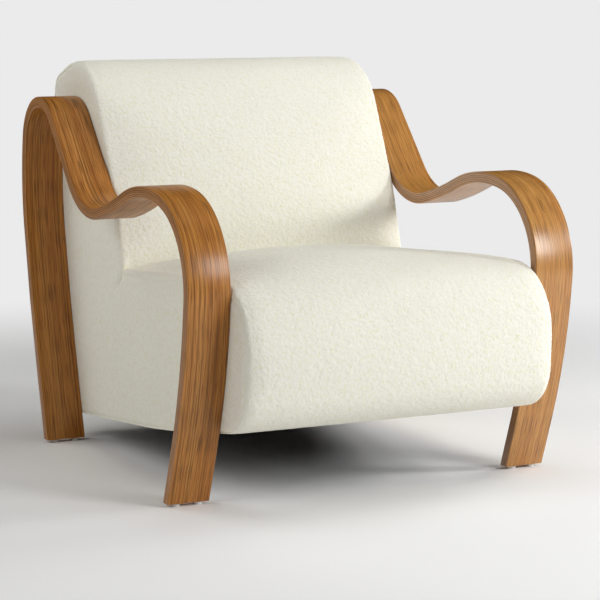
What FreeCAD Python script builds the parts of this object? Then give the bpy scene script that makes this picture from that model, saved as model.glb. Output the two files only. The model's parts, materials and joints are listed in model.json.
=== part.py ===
import FreeCAD, Part
import math
import os

# Upholstered lounge chair carried by two bent laminated ribbons.
# The chair faces -Y. X runs across it, Z is up, and the origin is on the floor
# under the middle of its bounding box. Lengths are in millimetres, angles in degrees.
# In side view a point is (fore, up): fore is counted forwards from the rear plane
# of the upholstered body, up from the floor. A heading of 0 points forwards, 90 up.

Vector = FreeCAD.Vector

SIZES = {
    # whole chair and the laminated strip
    "chair_width": 800,
    "strip_width": 83,
    "strip_thickness": 22,
    "strip_edge_round": 2.5,
    "arm_gap": 0.3,
    # the ribbon, run by run, from the rear foot over the arm to the front foot
    "rear_foot_inset": 93.5,
    "rear_foot_run": 140,
    "rear_foot_heading": 105.4,
    "rear_leg_radius": 2870,
    "rear_leg_heading": 99.2,
    "rear_shoulder_radius": 540,
    "rear_shoulder_heading": 79.5,
    "apex_radius": 91,
    "slope_heading": -48.3,
    "slope_run": 161,
    "trough_radius": 152,
    "arm_heading": 12.4,
    "hump_heading": 21.6,
    "hump_radius": 304,
    "hump_end_heading": -10.6,
    "front_shoulder_radius": 162,
    "front_shoulder_heading": -95.1,
    "front_leg_radius": 1105,
    "front_foot_heading": -110.1,
    "front_foot_fore": 797.5,
    # glides and their nails
    "glide_radius": 9,
    "glide_height": 6,
    "glide_flange": 2.5,
    "glide_spacing": 44,
    "nail_radius": 1.4,
    "nail_length": 18,
    "nail_head_radius": 4,
    "nail_head_height": 1.2,
    # bolts that hold the ribbons to the side boards
    "rear_bolt_low_up": 190,
    "rear_bolt_high_up": 390,
    "front_bolt_rise": 45,
    "front_bolt_pitch": 45,
    "bolt_radius": 4,
    "bolt_head_radius": 6.5,
    "bolt_head_height": 8,
    "bolt_socket_flat_radius": 3,
    "bolt_socket_depth": 4,
    "bolt_clearance": 0.5,
    "washer_radius": 10,
    "washer_thickness": 2,
    "insert_radius": 6,
    "insert_length": 18,
    "insert_bore_spare": 3,
    "thread_clearance": 0.1,
    # corners of the body in side view, before rounding
    "rear_bottom_fore": 68,
    "rear_bottom_up": 44,
    "rear_bottom_radius": 25,
    "rear_top_up": 746,
    "rear_top_radius": 55,
    "back_top_fore": 216,
    "back_top_up": 825,
    "back_top_radius": 148,
    "lumbar_fore": 364.5,
    "lumbar_up": 498,
    "lumbar_radius": 600,
    "seat_rear_fore": 394.5,
    "seat_rear_up": 390,
    "seat_rear_radius": 6,
    "seat_front_overhang": 188,
    "seat_front_up": 434,
    "seat_front_radius": 130,
    "front_bottom_overhang": 179,
    "front_bottom_up": 154,
    "front_bottom_radius": 98,
    "belly_fore": 562.5,
    "belly_up": 91,
    "belly_radius": 3000,
    # padded edge of the body and how far its faces swell at the middle
    "edge_round": 20,
    "seat_crown": 20,
    "back_crown": 12,
    "front_crown": 8,
    "top_crown": 3,
    "rear_crown": 4,
    "belly_crown": 3,
    # cloth, wadding and the boards inside
    "cover_thickness": 3,
    "side_wadding_thickness": 5,
    "fit_gap": 0.2,
    "board_thickness": 18,
    "board_rear_inset": 12,
    "board_top_inset": 40,
    "board_back_inset": 110,
    "board_seat_inset": 130,
    "board_front_inset": 55,
    "board_bottom_inset": 8.3,
    "board_corner_radius": 20,
    "rear_seam_up": 690,
    "bottom_turn_under": 30,
    # rails between the boards, each counted along the board edge that it lies on
    "rail_thickness": 22,
    "spring_rail_width": 40,
    "spring_rail_depth": 45,
    "front_spring_rail_start": 78,
    "seat_rear_rail_start": 8,
    "front_rail_start": 30,
    "front_rail_width": 78,
    "front_rail_inset": 12,
    "back_top_rail_start": 24,
    "back_top_rail_width": 60,
    "back_top_rail_inset": 20,
    "back_middle_rail_bolt_gap": 48.8,
    "back_middle_rail_width": 70,
    "base_rear_rail_bolt_gap": 20,
    "base_rear_rail_width": 70,
    "base_middle_rail_start": 40,
    "base_middle_rail_width": 80,
    "back_lower_rail_start": 60,
    "back_lower_rail_width": 70,
    "back_lower_rail_inset": 30,
    "dowel_radius": 4,
    "dowel_in_rail": 20,
    "dowel_in_board": 12,
    "dowel_end_gap": 1,
    "block_leg": 55,
    "block_height": 32,
    # springs, clips, tie wires and the pad over them
    "spring_count": 5,
    "spring_pitch": 106,
    "spring_wire_radius": 2,
    "spring_run": 34,
    "spring_turn_radius": 9,
    "clip_thickness": 1.2,
    "clip_width": 24,
    "clip_leg": 26,
    "clip_top_leg": 14,
    "tie_wire_radius": 1.5,
    "tie_wire_count": 2,
    "pad_thickness": 5,
    "pad_side_gap": 14,
    # webbing over the back and the lining over it
    "strap_width": 50,
    "strap_thickness": 2,
    "strap_gap": 22,
    "strap_bend_gap": 12,
    "strap_end_inset": 4,
    "upper_strap_count": 3,
    "lower_strap_count": 2,
    "lining_thickness": 1.5,
    # how far a cutting shape runs past what it cuts
    "overrun": 40,
}

doc = FreeCAD.newDocument("accent_chair")
sheet = doc.addObject("Spreadsheet::Sheet", "sizes")
for row, (alias, value) in enumerate(SIZES.items(), start=1):
    sheet.set("A%d" % row, alias)
    sheet.set("B%d" % row, str(value))
    sheet.setAlias("B%d" % row, alias)
doc.recompute()
size = {alias: float(sheet.get(alias)) for alias in SIZES}

half_chair = size["chair_width"] / 2
half_ribbon = half_chair - size["strip_width"]
half_body = half_ribbon - size["arm_gap"]
half_form = half_body - size["cover_thickness"]
half_frame = half_form - size["side_wadding_thickness"]
half_rail = half_frame - size["board_thickness"]


# Side view helpers

def heading_vector(degrees):
    """Unit vector in side view for a heading."""
    return Vector(math.cos(math.radians(degrees)), math.sin(math.radians(degrees)), 0)


def left_of(direction):
    """The same vector turned a quarter turn to the left."""
    return Vector(-direction.y, direction.x, 0)


def meet(point_a, direction_a, point_b, direction_b):
    """Where two lines in side view cross."""
    along = (point_b - point_a).cross(direction_b).z / direction_a.cross(direction_b).z
    return point_a + direction_a * along


# The body's outline: eight corners, clockwise from the rear bottom, each with a radius.
# Side i runs from corner i to corner i + 1.

REAR, TOP, BACK, LUMBAR, SEAT, FRONT, BELLY, BOTTOM = range(8)
REAR_BOTTOM, REAR_TOP, BACK_TOP, LUMBAR_BEND, SEAT_REAR, SEAT_FRONT, FRONT_BOTTOM, BELLY_BEND = range(8)

body_corners = [
    Vector(size["rear_bottom_fore"], size["rear_bottom_up"], 0),
    Vector(0, size["rear_top_up"], 0),
    Vector(size["back_top_fore"], size["back_top_up"], 0),
    Vector(size["lumbar_fore"], size["lumbar_up"], 0),
    Vector(size["seat_rear_fore"], size["seat_rear_up"], 0),
    Vector(size["front_foot_fore"] + size["seat_front_overhang"], size["seat_front_up"], 0),
    Vector(size["front_foot_fore"] + size["front_bottom_overhang"], size["front_bottom_up"], 0),
    Vector(size["belly_fore"], size["belly_up"], 0),
]
body_radii = [size[name] for name in (
    "rear_bottom_radius", "rear_top_radius", "back_top_radius", "lumbar_radius",
    "seat_rear_radius", "seat_front_radius", "front_bottom_radius", "belly_radius")]
crowns = [size[name] for name in (
    "rear_crown", "top_crown", "back_crown", "back_crown",
    "seat_crown", "front_crown", "belly_crown", "belly_crown")]


def moved_corners(corners, offsets):
    """Corners after each side has moved outwards by its own offset."""
    count = len(corners)
    lines = []
    for index in range(count):
        direction = (corners[(index + 1) % count] - corners[index]).normalize()
        lines.append((corners[index] + left_of(direction) * offsets[index], direction))
    return [meet(*lines[index - 1], *lines[index]) for index in range(count)]


def moved_radii(radii, offsets):
    """Radii that keep an outline parallel, but for the inner corner, which stays sharp."""
    result = []
    for index, radius in enumerate(radii):
        offset = (offsets[index - 1] + offsets[index]) / 2
        if index == SEAT_REAR:
            result.append(radius)
        else:
            result.append(max(radius + offset, size["board_corner_radius"]))
    return result


def side_length(corners, side):
    return (corners[(side + 1) % len(corners)] - corners[side]).Length


# The most of a side that the roundings at its two ends may take
ROUNDED_SHARE = 0.96


def fitted_roundings(corners, radii):
    """Half turn and tangent length at each corner, shorter where a side is too short for two."""
    count = len(corners)
    half_turns = []
    for index in range(count):
        arriving = (corners[index] - corners[index - 1]).normalize()
        leaving = (corners[(index + 1) % count] - corners[index]).normalize()
        half_turns.append(math.acos(max(-1, min(1, arriving.dot(leaving)))) / 2)
    wanted = [radius * math.tan(half_turn) for radius, half_turn in zip(radii, half_turns)]
    rooms = []
    for side in range(count):
        taken = wanted[side] + wanted[(side + 1) % count]
        rooms.append(min(1, ROUNDED_SHARE * side_length(corners, side) / taken))
    tangents = [wanted[index] * min(rooms[index - 1], rooms[index]) for index in range(count)]
    return half_turns, tangents


def rounded_outline(corners, radii):
    """Closed run of (start, middle, end) arcs, one at each corner, joined by lines."""
    arcs = []
    count = len(corners)
    half_turns, tangents = fitted_roundings(corners, radii)
    for index in range(count):
        corner = corners[index]
        arriving = (corner - corners[index - 1]).normalize()
        leaving = (corners[(index + 1) % count] - corner).normalize()
        radius = tangents[index] / math.tan(half_turns[index])
        start = corner - arriving * tangents[index]
        end = corner + leaving * tangents[index]
        inwards = (leaving - arriving).normalize()
        centre = corner + inwards * (radius / math.cos(half_turns[index]))
        middle = centre - inwards * radius
        arcs.append((start, middle, end))
    return arcs


body_arcs = rounded_outline(body_corners, body_radii)


def arc_reach(index, hand):
    """Furthest fore, to the front or to the rear, of the body's rounding at a corner."""
    start, middle, end = body_arcs[index]
    curve = Part.Arc(start, middle, end).toShape().Curve
    return curve.Center.x + hand * curve.Radius


rear_reach = arc_reach(REAR_TOP, -1) - size["rear_crown"]
front_reach = arc_reach(SEAT_FRONT, 1) + size["front_crown"]
middle_fore = (rear_reach + front_reach) / 2


def place(point, across):
    """A side view point as a point of the chair."""
    return Vector(across, middle_fore - point.x, point.y)


def outline_edges(arcs, across):
    """Edges of a rounded outline, as geometry in the plane at one place across."""
    edges = []
    for index, (start, middle, end) in enumerate(arcs):
        before = arcs[index - 1][2]
        edges.append(Part.LineSegment(place(before, across), place(start, across)))
        edges.append(Part.Arc(place(start, across), place(middle, across), place(end, across)))
    return edges


def outline_wire(arcs, across):
    return Part.Wire([edge.toShape() for edge in outline_edges(arcs, across)])


def prism(arcs, low, high):
    """Solid of a rounded outline between two places across."""
    face = Part.Face(outline_wire(arcs, low))
    return face.extrude(Vector(high - low, 0, 0))


def polygon_prism(points, low, high):
    """Solid of a side view polygon between two places across."""
    corners = [place(point, low) for point in points]
    face = Part.Face(Part.makePolygon(corners + corners[:1]))
    return face.extrude(Vector(high - low, 0, 0))


# The board outline and the hollow that the foam leaves round it

board_insets = [-size[name] for name in (
    "board_rear_inset", "board_top_inset", "board_back_inset", "board_back_inset",
    "board_seat_inset", "board_front_inset", "board_bottom_inset", "board_bottom_inset")]
board_corners = moved_corners(body_corners, board_insets)
board_radii = moved_radii(body_radii, board_insets)
board_arcs = rounded_outline(board_corners, board_radii)
lumbar_tangent = fitted_roundings(board_corners, board_radii)[1][LUMBAR_BEND]
strap_first_start = lumbar_tangent + size["strap_bend_gap"]

clip_height = 2 * (size["clip_thickness"] + size["spring_wire_radius"] + size["thread_clearance"])
pad_bottom = clip_height + size["fit_gap"]
pad_top = pad_bottom + size["pad_thickness"]
lining_bottom = size["strap_thickness"] + size["fit_gap"]
lining_top = lining_bottom + size["lining_thickness"]

hollow_offsets = list(board_insets)
hollow_offsets[BACK] += lining_top + size["fit_gap"]
hollow_offsets[LUMBAR] += lining_top + size["fit_gap"]
hollow_offsets[SEAT] += pad_top + size["fit_gap"]
hollow_offsets[BELLY] = size["overrun"]
hollow_offsets[BOTTOM] = size["overrun"]
hollow_corners = moved_corners(body_corners, hollow_offsets)
hollow_arcs = rounded_outline(hollow_corners, moved_radii(body_radii, hollow_offsets))


def along_side(corners, side, distance, outwards=0):
    """Point on a side of an outline, its direction and its outward normal."""
    direction = (corners[(side + 1) % len(corners)] - corners[side]).normalize()
    normal = left_of(direction)
    return corners[side] + direction * distance + normal * outwards, direction, normal


# Document helpers

def bind(feature, **expressions):
    for name, expression in expressions.items():
        feature.setExpression(name, expression)
    return feature


def new_body(label):
    body = doc.addObject("PartDesign::Body", label)
    body.Label = label
    return body


def origin_plane(body, role):
    return [item for item in body.Origin.OriginFeatures if item.Role == role][0]


def new_sketch(body, name, role, geometry, offset=Vector()):
    """Sketch on one of the body's own planes, moved along its normal by an offset."""
    sketch = body.newObject("Sketcher::SketchObject", name)
    sketch.AttachmentSupport = (origin_plane(body, role), [""])
    sketch.MapMode = "FlatFace"
    sketch.AttachmentOffset = FreeCAD.Placement(offset, FreeCAD.Rotation())
    for item in geometry:
        sketch.addGeometry(item, False)
    doc.recompute()
    return sketch


def flat(geometry_points):
    """Side view point as a point of a sketch on the YZ plane."""
    return Vector(middle_fore - geometry_points.x, geometry_points.y, 0)


def flat_outline(arcs):
    """Rounded outline as sketch geometry."""
    items = []
    for index, (start, middle, end) in enumerate(arcs):
        before = arcs[index - 1][2]
        items.append(Part.LineSegment(flat(before), flat(start)))
        items.append(Part.Arc(flat(start), flat(middle), flat(end)))
    return items


def circle(point, radius):
    return Part.Circle(point, Vector(0, 0, 1), radius)


def pad(body, sketch, length):
    feature = body.newObject("PartDesign::Pad", sketch.Name + "_pad")
    feature.Profile = sketch
    bind(feature, Length=length)
    doc.recompute()
    return feature


def pocket(body, sketch, length, reverse):
    """Pocket that has to take material away."""
    before = body.Shape.Volume
    feature = body.newObject("PartDesign::Pocket", sketch.Name + "_pocket")
    feature.Profile = sketch
    feature.Reversed = reverse
    bind(feature, Length=length)
    doc.recompute()
    if not body.Shape.Volume < before:
        raise RuntimeError("pocket cut nothing: " + feature.Name)
    return feature


def solid_feature(label, shape):
    """Object for a form that is shaped by the functions of this file."""
    feature = doc.addObject("Part::Feature", label)
    feature.Label = label
    feature.Shape = shape
    feature.Placement = FreeCAD.Placement()
    return feature


def group(label, shapes):
    """One node that holds several equal solids."""
    return solid_feature(label, Part.makeCompound(shapes))


def side_box(name, point, direction, normal, low, length, width, height):
    """Box whose width runs along a board edge, its height inwards, its length across."""
    box = doc.addObject("Part::Box", name)
    bind(box, Length=length, Width=width, Height=height)
    across = Vector(1, 0, 0)
    along = Vector(0, -direction.x, direction.y)
    inwards = across.cross(along)
    outwards = Vector(0, -normal.x, normal.y)
    if inwards.dot(outwards) > 0:
        across = Vector(-1, 0, 0)
        inwards = across.cross(along)
        low = -low
    frame = FreeCAD.Matrix(
        across.x, along.x, inwards.x, low,
        across.y, along.y, inwards.y, place(point, 0).y,
        across.z, along.z, inwards.z, place(point, 0).z)
    box.Placement = FreeCAD.Placement(frame)
    return box


# The ribbon: runs of the strip's middle line

# Each run ends at a heading and has a radius or, where it is straight, a length.
# The radius of the arm's rise follows from where the front foot stands.
RISE = None


def bend_step(heading, end_heading):
    """Way that a bend of unit radius leads."""
    side = math.copysign(1, end_heading - heading)
    return (left_of(heading_vector(heading)) - left_of(heading_vector(end_heading))) * side


def rise_radius(plan, point, heading):
    """Radius of the arm's rise that brings the front leg down on its foot's place."""
    for name, radius, length in plan:
        if radius is RISE:
            rise = bend_step(heading, size[name])
        elif radius:
            point = point + bend_step(heading, size[name]) * radius
        else:
            point = point + heading_vector(heading) * length
        heading = size[name]
    slant = heading_vector(heading).x / heading_vector(heading).y
    missing = size["front_foot_fore"] - point.x - (size["glide_height"] - point.y) * slant
    return missing / (rise.x - rise.y * slant)


def ribbon_runs():
    """Straight and bent runs as (start, heading, end heading, radius, length)."""
    plan = [
        ("rear_foot_heading", 0, size["rear_foot_run"]),
        ("rear_leg_heading", size["rear_leg_radius"], 0),
        ("rear_shoulder_heading", size["rear_shoulder_radius"], 0),
        ("slope_heading", size["apex_radius"], 0),
        ("slope_heading", 0, size["slope_run"]),
        ("arm_heading", size["trough_radius"], 0),
        ("hump_heading", RISE, 0),
        ("hump_end_heading", size["hump_radius"], 0),
        ("front_shoulder_heading", size["front_shoulder_radius"], 0),
        ("front_foot_heading", size["front_leg_radius"], 0),
    ]
    rear_foot_fore = size["rear_bottom_fore"] + size["rear_foot_inset"]
    point = Vector(rear_foot_fore, size["glide_height"], 0)
    heading = size["rear_foot_heading"]
    rise = rise_radius(plan, point, heading)
    runs = []
    for name, radius, length in plan:
        radius = rise if radius is RISE else radius
        end_heading = size[name]
        runs.append((point, heading, end_heading, radius, length))
        if radius:
            point = point + bend_step(heading, end_heading) * radius
        else:
            point = point + heading_vector(heading) * length
        heading = end_heading
    last = (size["glide_height"] - point.y) / heading_vector(heading).y
    runs.append((point, heading, heading, 0, last))
    return runs


runs = ribbon_runs()


def run_centre(start, heading, end_heading, radius):
    side = math.copysign(1, end_heading - heading)
    return start + left_of(heading_vector(heading)) * (radius * side), side


def strip_face_line(side_of_strip):
    """One long face of the strip in side view, as sketch geometry from foot to foot."""
    offset = side_of_strip * size["strip_thickness"] / 2
    items = []
    ends = []
    for number, (start, heading, end_heading, radius, length) in enumerate(runs):
        normal = left_of(heading_vector(heading))
        first = start + normal * offset
        if radius:
            centre, side = run_centre(start, heading, end_heading, radius)
            own_radius = radius - offset * side
            headings = (heading, (heading + end_heading) / 2, end_heading)
            points = [centre - left_of(heading_vector(turn)) * (own_radius * side) for turn in headings]
            items.append(Part.Arc(*[flat(point) for point in points]))
            ends.append((points[0], points[2]))
        else:
            last = first + heading_vector(heading) * length
            level = heading_vector(heading).y
            if number == 0:
                first = first + heading_vector(heading) * ((size["glide_height"] - first.y) / level)
            if number == len(runs) - 1:
                last = last + heading_vector(heading) * ((size["glide_height"] - last.y) / level)
            items.append(Part.LineSegment(flat(first), flat(last)))
            ends.append((first, last))
    return items, ends[0][0], ends[-1][1]


def leg_point(up, leg_runs):
    """Middle of the strip at one height on a leg."""
    for start, heading, end_heading, radius, length in leg_runs:
        if radius:
            centre, side = run_centre(start, heading, end_heading, radius)
            cosine = (centre.y - up) / (radius * side)
            if abs(cosine) > 1:
                continue
            turn = math.copysign(math.degrees(math.acos(cosine)), heading)
            if min(heading, end_heading) <= turn <= max(heading, end_heading):
                return centre - left_of(heading_vector(turn)) * (radius * side)
        else:
            along = (up - start.y) / heading_vector(heading).y
            if 0 <= along <= length:
                return start + heading_vector(heading) * along
    raise ValueError("the leg doesn't reach this height")


rear_leg = runs[:3]
front_leg = runs[-2:]


def board_underside(fore):
    """Height of the boards' front lower edge at one place."""
    low, high = board_corners[BELLY_BEND], board_corners[FRONT_BOTTOM]
    return low.y + (high.y - low.y) * (fore - low.x) / (high.x - low.x)


front_bolt_low_up = board_underside(size["front_foot_fore"]) + size["front_bolt_rise"]
bolt_points = [
    leg_point(size["rear_bolt_low_up"], rear_leg),
    leg_point(size["rear_bolt_high_up"], rear_leg),
    leg_point(front_bolt_low_up, front_leg),
    leg_point(front_bolt_low_up + size["front_bolt_pitch"], front_leg),
]
rear_low_bolt, rear_high_bolt = bolt_points[:2]
foot_points = [runs[0][0], runs[-1][0] + heading_vector(runs[-1][1]) * runs[-1][4]]
glide_across = [-size["glide_spacing"] / 2, size["glide_spacing"] / 2]
strip_middle = half_chair - size["strip_width"] / 2


def long_edges(feature):
    """Names of the strip's long edges, which lie in its two side faces."""
    names = []
    for number, edge in enumerate(feature.Shape.Edges, start=1):
        box = edge.BoundBox
        in_side_face = box.XLength < size["fit_gap"]
        at_foot = box.ZMax < size["glide_height"] + size["fit_gap"]
        if in_side_face and not at_foot:
            names.append("Edge%d" % number)
    return names


def make_arm(label, hand):
    """Bent laminated ribbon: rear leg, arm and front leg in one strip."""
    body = new_body(label)
    outer, outer_first, outer_last = strip_face_line(1)
    inner, inner_first, inner_last = strip_face_line(-1)
    feet = [Part.LineSegment(flat(outer_first), flat(inner_first)),
            Part.LineSegment(flat(outer_last), flat(inner_last))]
    sketch = new_sketch(body, label + "_line", "YZ_Plane", outer + inner + feet)
    strip = pad(body, sketch, "sizes.strip_width")
    fillet = body.newObject("PartDesign::Fillet", label + "_edges")
    fillet.Base = (strip, long_edges(strip))
    bind(fillet, Radius="sizes.strip_edge_round")
    doc.recompute()
    bores = [circle(flat(point), size["insert_radius"]) for point in bolt_points]
    inner_face = Vector(0, 0, size["strip_width"]) if hand < 0 else Vector()
    bore_sketch = new_sketch(body, label + "_bores", "YZ_Plane", bores, inner_face)
    pocket(body, bore_sketch, "sizes.insert_length + sizes.insert_bore_spare", hand > 0)
    nails = []
    for foot in foot_points:
        for across in glide_across:
            centre = Vector(size["strip_width"] / 2 + across, flat(foot).x, 0)
            nails.append(circle(centre, size["nail_radius"] + size["thread_clearance"]))
    nail_sketch = new_sketch(body, label + "_nails", "XY_Plane", nails, Vector(0, 0, size["glide_height"]))
    pocket(body, nail_sketch, "sizes.nail_length", True)
    start = "-sizes.chair_width / 2" if hand < 0 else "sizes.chair_width / 2 - sizes.strip_width"
    body.setExpression("Placement.Base.x", start)
    doc.recompute()
    return body


def turned(points):
    """Solid of revolution about Z of an (out, up) outline that starts and ends on the axis."""
    corners = [Vector(out, 0, up) for out, up in points]
    face = Part.Face(Part.makePolygon(corners + corners[:1]))
    return face.revolve(Vector(), Vector(0, 0, 1), 360)


def facing(shape, point, direction):
    """Copy of a shape made along Z, turned to a direction and moved to a point."""
    copy = shape.copy()
    rotation = FreeCAD.Rotation(Vector(0, 0, 1), direction)
    copy.Placement = FreeCAD.Placement(point, rotation)
    return copy


def glide_places():
    """Point under each foot for every glide."""
    places = []
    for hand in (-1, 1):
        for foot in foot_points:
            for across in glide_across:
                spot = place(foot, hand * strip_middle + across)
                places.append(Vector(spot.x, spot.y, 0))
    return places


def make_glides():
    """Nylon glides with a recess for the nail head and a hole for its shank."""
    hole = size["nail_radius"] + size["thread_clearance"]
    recess = size["nail_head_radius"] + size["thread_clearance"]
    seat = size["glide_height"] - size["glide_flange"]
    glide = turned([
        (hole, size["glide_height"]), (size["glide_radius"], size["glide_height"]),
        (size["glide_radius"], size["glide_flange"] / 2),
        (size["glide_radius"] - size["glide_flange"] / 2, 0),
        (recess, 0), (recess, seat), (hole, seat)])
    return group("floor_glides", [facing(glide, spot, Vector(0, 0, 1)) for spot in glide_places()])


def make_nails():
    seat = size["glide_height"] - size["glide_flange"]
    head_bottom = seat - size["nail_head_height"]
    top = head_bottom + size["nail_length"]
    nail = turned([
        (0, head_bottom), (size["nail_head_radius"], head_bottom), (size["nail_head_radius"], seat),
        (size["nail_radius"], seat), (size["nail_radius"], top - size["nail_radius"]), (0, top)])
    return group("glide_nails", [facing(nail, spot, Vector(0, 0, 1)) for spot in glide_places()])


def bolt_stations():
    """Place on the ribbon's inner edge and outward direction of every bolt."""
    stations = []
    for hand in (-1, 1):
        for point in bolt_points:
            stations.append((place(point, hand * half_ribbon), Vector(hand, 0, 0)))
    return stations


def make_inserts():
    """Threaded inserts flush with the ribbon's inner edge."""
    bore = size["bolt_radius"] + size["thread_clearance"]
    insert = turned([
        (bore, 0), (size["insert_radius"], 0), (size["insert_radius"], size["insert_length"]),
        (bore, size["insert_length"])])
    return group("threaded_inserts", [facing(insert, *station) for station in bolt_stations()])


board_stack = half_ribbon - half_rail


def make_washers():
    bore = size["bolt_radius"] + size["thread_clearance"]
    washer = turned([
        (bore, 0), (size["washer_radius"], 0), (size["washer_radius"], size["washer_thickness"]),
        (bore, size["washer_thickness"])])
    drop = board_stack + size["washer_thickness"]
    return group("arm_washers", [facing(washer, spot - way * drop, way) for spot, way in bolt_stations()])


SOCKET_SIDES = 6


def make_bolts():
    """Socket head bolts, from inside the frame into the inserts."""
    under_head = board_stack + size["washer_thickness"]
    shank = under_head + size["insert_length"] - size["insert_bore_spare"]
    head = size["bolt_head_height"]
    bolt = turned([
        (0, -head), (size["bolt_head_radius"], -head), (size["bolt_head_radius"], 0),
        (size["bolt_radius"], 0), (size["bolt_radius"], shank), (0, shank)])
    corner = Vector(size["bolt_socket_flat_radius"] / math.cos(math.pi / SOCKET_SIDES), 0, -head)
    corners = [FreeCAD.Rotation(Vector(0, 0, 1), 360 * number / SOCKET_SIDES).multVec(corner)
               for number in range(SOCKET_SIDES)]
    socket = Part.Face(Part.makePolygon(corners + corners[:1]))
    bolt = bolt.cut(socket.extrude(Vector(0, 0, size["bolt_socket_depth"])))
    return group("arm_bolts", [facing(bolt, spot - way * under_head, way) for spot, way in bolt_stations()])


# Rails: which board edge each lies on, whether it is counted from that edge's end, its
# start along the edge, its width and depth, and how far it is set in

def bolt_distance(point):
    """How far up the boards' rear edge a bolt stands."""
    direction = (board_corners[REAR_TOP] - board_corners[REAR_BOTTOM]).normalize()
    return (point - board_corners[REAR_BOTTOM]).dot(direction)


base_rear_rail_end = bolt_distance(rear_low_bolt) - size["base_rear_rail_bolt_gap"]
RAILS = [
    ("back_top_rail", TOP, False, size["back_top_rail_start"], "back_top_rail_width",
     "rail_thickness", size["back_top_rail_inset"]),
    ("back_middle_rail", REAR, False, bolt_distance(rear_high_bolt) + size["back_middle_rail_bolt_gap"],
     "back_middle_rail_width", "rail_thickness", 0),
    ("base_rear_rail", REAR, False, base_rear_rail_end - size["base_rear_rail_width"],
     "base_rear_rail_width", "rail_thickness", 0),
    ("base_middle_rail", BOTTOM, False, size["base_middle_rail_start"], "base_middle_rail_width",
     "rail_thickness", 0),
    ("back_lower_rail", LUMBAR, True, size["back_lower_rail_start"], "back_lower_rail_width",
     "rail_thickness", size["back_lower_rail_inset"]),
    ("seat_rear_rail", SEAT, False, size["seat_rear_rail_start"], "spring_rail_width",
     "spring_rail_depth", 0),
    ("front_spring_rail", SEAT, True, size["front_spring_rail_start"], "spring_rail_width",
     "spring_rail_depth", 0),
    ("front_rail", FRONT, False, size["front_rail_start"], "front_rail_width",
     "rail_thickness", size["front_rail_inset"]),
]


def rail_corner(side, from_end, start, width, inset):
    """Low corner of a rail on its board edge, with the edge's direction and normal."""
    distance = start
    if from_end:
        distance = side_length(board_corners, side) - start - size[width]
    return along_side(board_corners, side, distance, -inset)


def dowel_spots(rail):
    """Side view points of a rail's two dowels."""
    name, side, from_end, start, width, depth, inset = rail
    corner, direction, normal = rail_corner(side, from_end, start, width, inset)
    middle = corner - normal * (size[depth] / 2)
    return [middle + direction * (size[width] * share) for share in (1 / 4, 3 / 4)]


def across_cylinder(name, point, low, radius, height):
    """Cylinder that runs across the chair from one place across."""
    cylinder = doc.addObject("Part::Cylinder", name)
    bind(cylinder, Radius=radius, Height=height)
    rotation = FreeCAD.Rotation(Vector(0, 0, 1), Vector(1, 0, 0))
    cylinder.Placement = FreeCAD.Placement(place(point, low), rotation)
    return cylinder


def make_rail(rail):
    """Rail between the boards, bored at both ends for its dowels."""
    name, side, from_end, start, width, depth, inset = rail
    corner, direction, normal = rail_corner(side, from_end, start, width, inset)
    blank = side_box(name + "_blank", corner, direction, normal, -half_rail,
                     "sizes.chair_width - 2 * (sizes.strip_width + sizes.arm_gap"
                     " + sizes.cover_thickness + sizes.side_wadding_thickness"
                     " + sizes.board_thickness)",
                     "sizes." + width, "sizes." + depth)
    bores = []
    for spot in dowel_spots(rail):
        for low in (-half_rail, half_rail - size["dowel_in_rail"] - size["dowel_end_gap"]):
            bores.append(across_cylinder(name + "_bore", spot, low, "sizes.dowel_radius",
                                         "sizes.dowel_in_rail + sizes.dowel_end_gap"))
    tools = doc.addObject("Part::Compound", name + "_bores")
    tools.Links = bores
    cut = doc.addObject("Part::Cut", name)
    cut.Label = name
    cut.Base = blank
    cut.Tool = tools
    return cut


def make_dowels():
    length = size["dowel_in_rail"] + size["dowel_in_board"]
    dowel = Part.makeCylinder(size["dowel_radius"], length)
    shapes = []
    for rail in RAILS:
        for spot in dowel_spots(rail):
            for hand in (-1, 1):
                inner_end = place(spot, hand * (half_rail - size["dowel_in_rail"]))
                shapes.append(facing(dowel, inner_end, Vector(hand, 0, 0)))
    return group("rail_dowels", shapes)


def make_board(label, hand):
    """Side board cut to the L of the body, with bolt holes and dowel bores."""
    body = new_body(label)
    holes = [circle(flat(point), size["bolt_radius"] + size["bolt_clearance"]) for point in bolt_points]
    sketch = new_sketch(body, label + "_outline", "YZ_Plane", flat_outline(board_arcs) + holes)
    pad(body, sketch, "sizes.board_thickness")
    spots = [spot for rail in RAILS for spot in dowel_spots(rail)]
    bores = [circle(flat(spot), size["dowel_radius"]) for spot in spots]
    inner_face = Vector(0, 0, size["board_thickness"]) if hand < 0 else Vector()
    bore_sketch = new_sketch(body, label + "_dowels", "YZ_Plane", bores, inner_face)
    pocket(body, bore_sketch, "sizes.dowel_in_board + sizes.dowel_end_gap", hand > 0)
    outer = ("sizes.chair_width / 2 - sizes.strip_width - sizes.arm_gap"
             " - sizes.cover_thickness - sizes.side_wadding_thickness")
    start = "-(%s)" % outer if hand < 0 else "%s - sizes.board_thickness" % outer
    body.setExpression("Placement.Base.x", start)
    doc.recompute()
    return body


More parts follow.
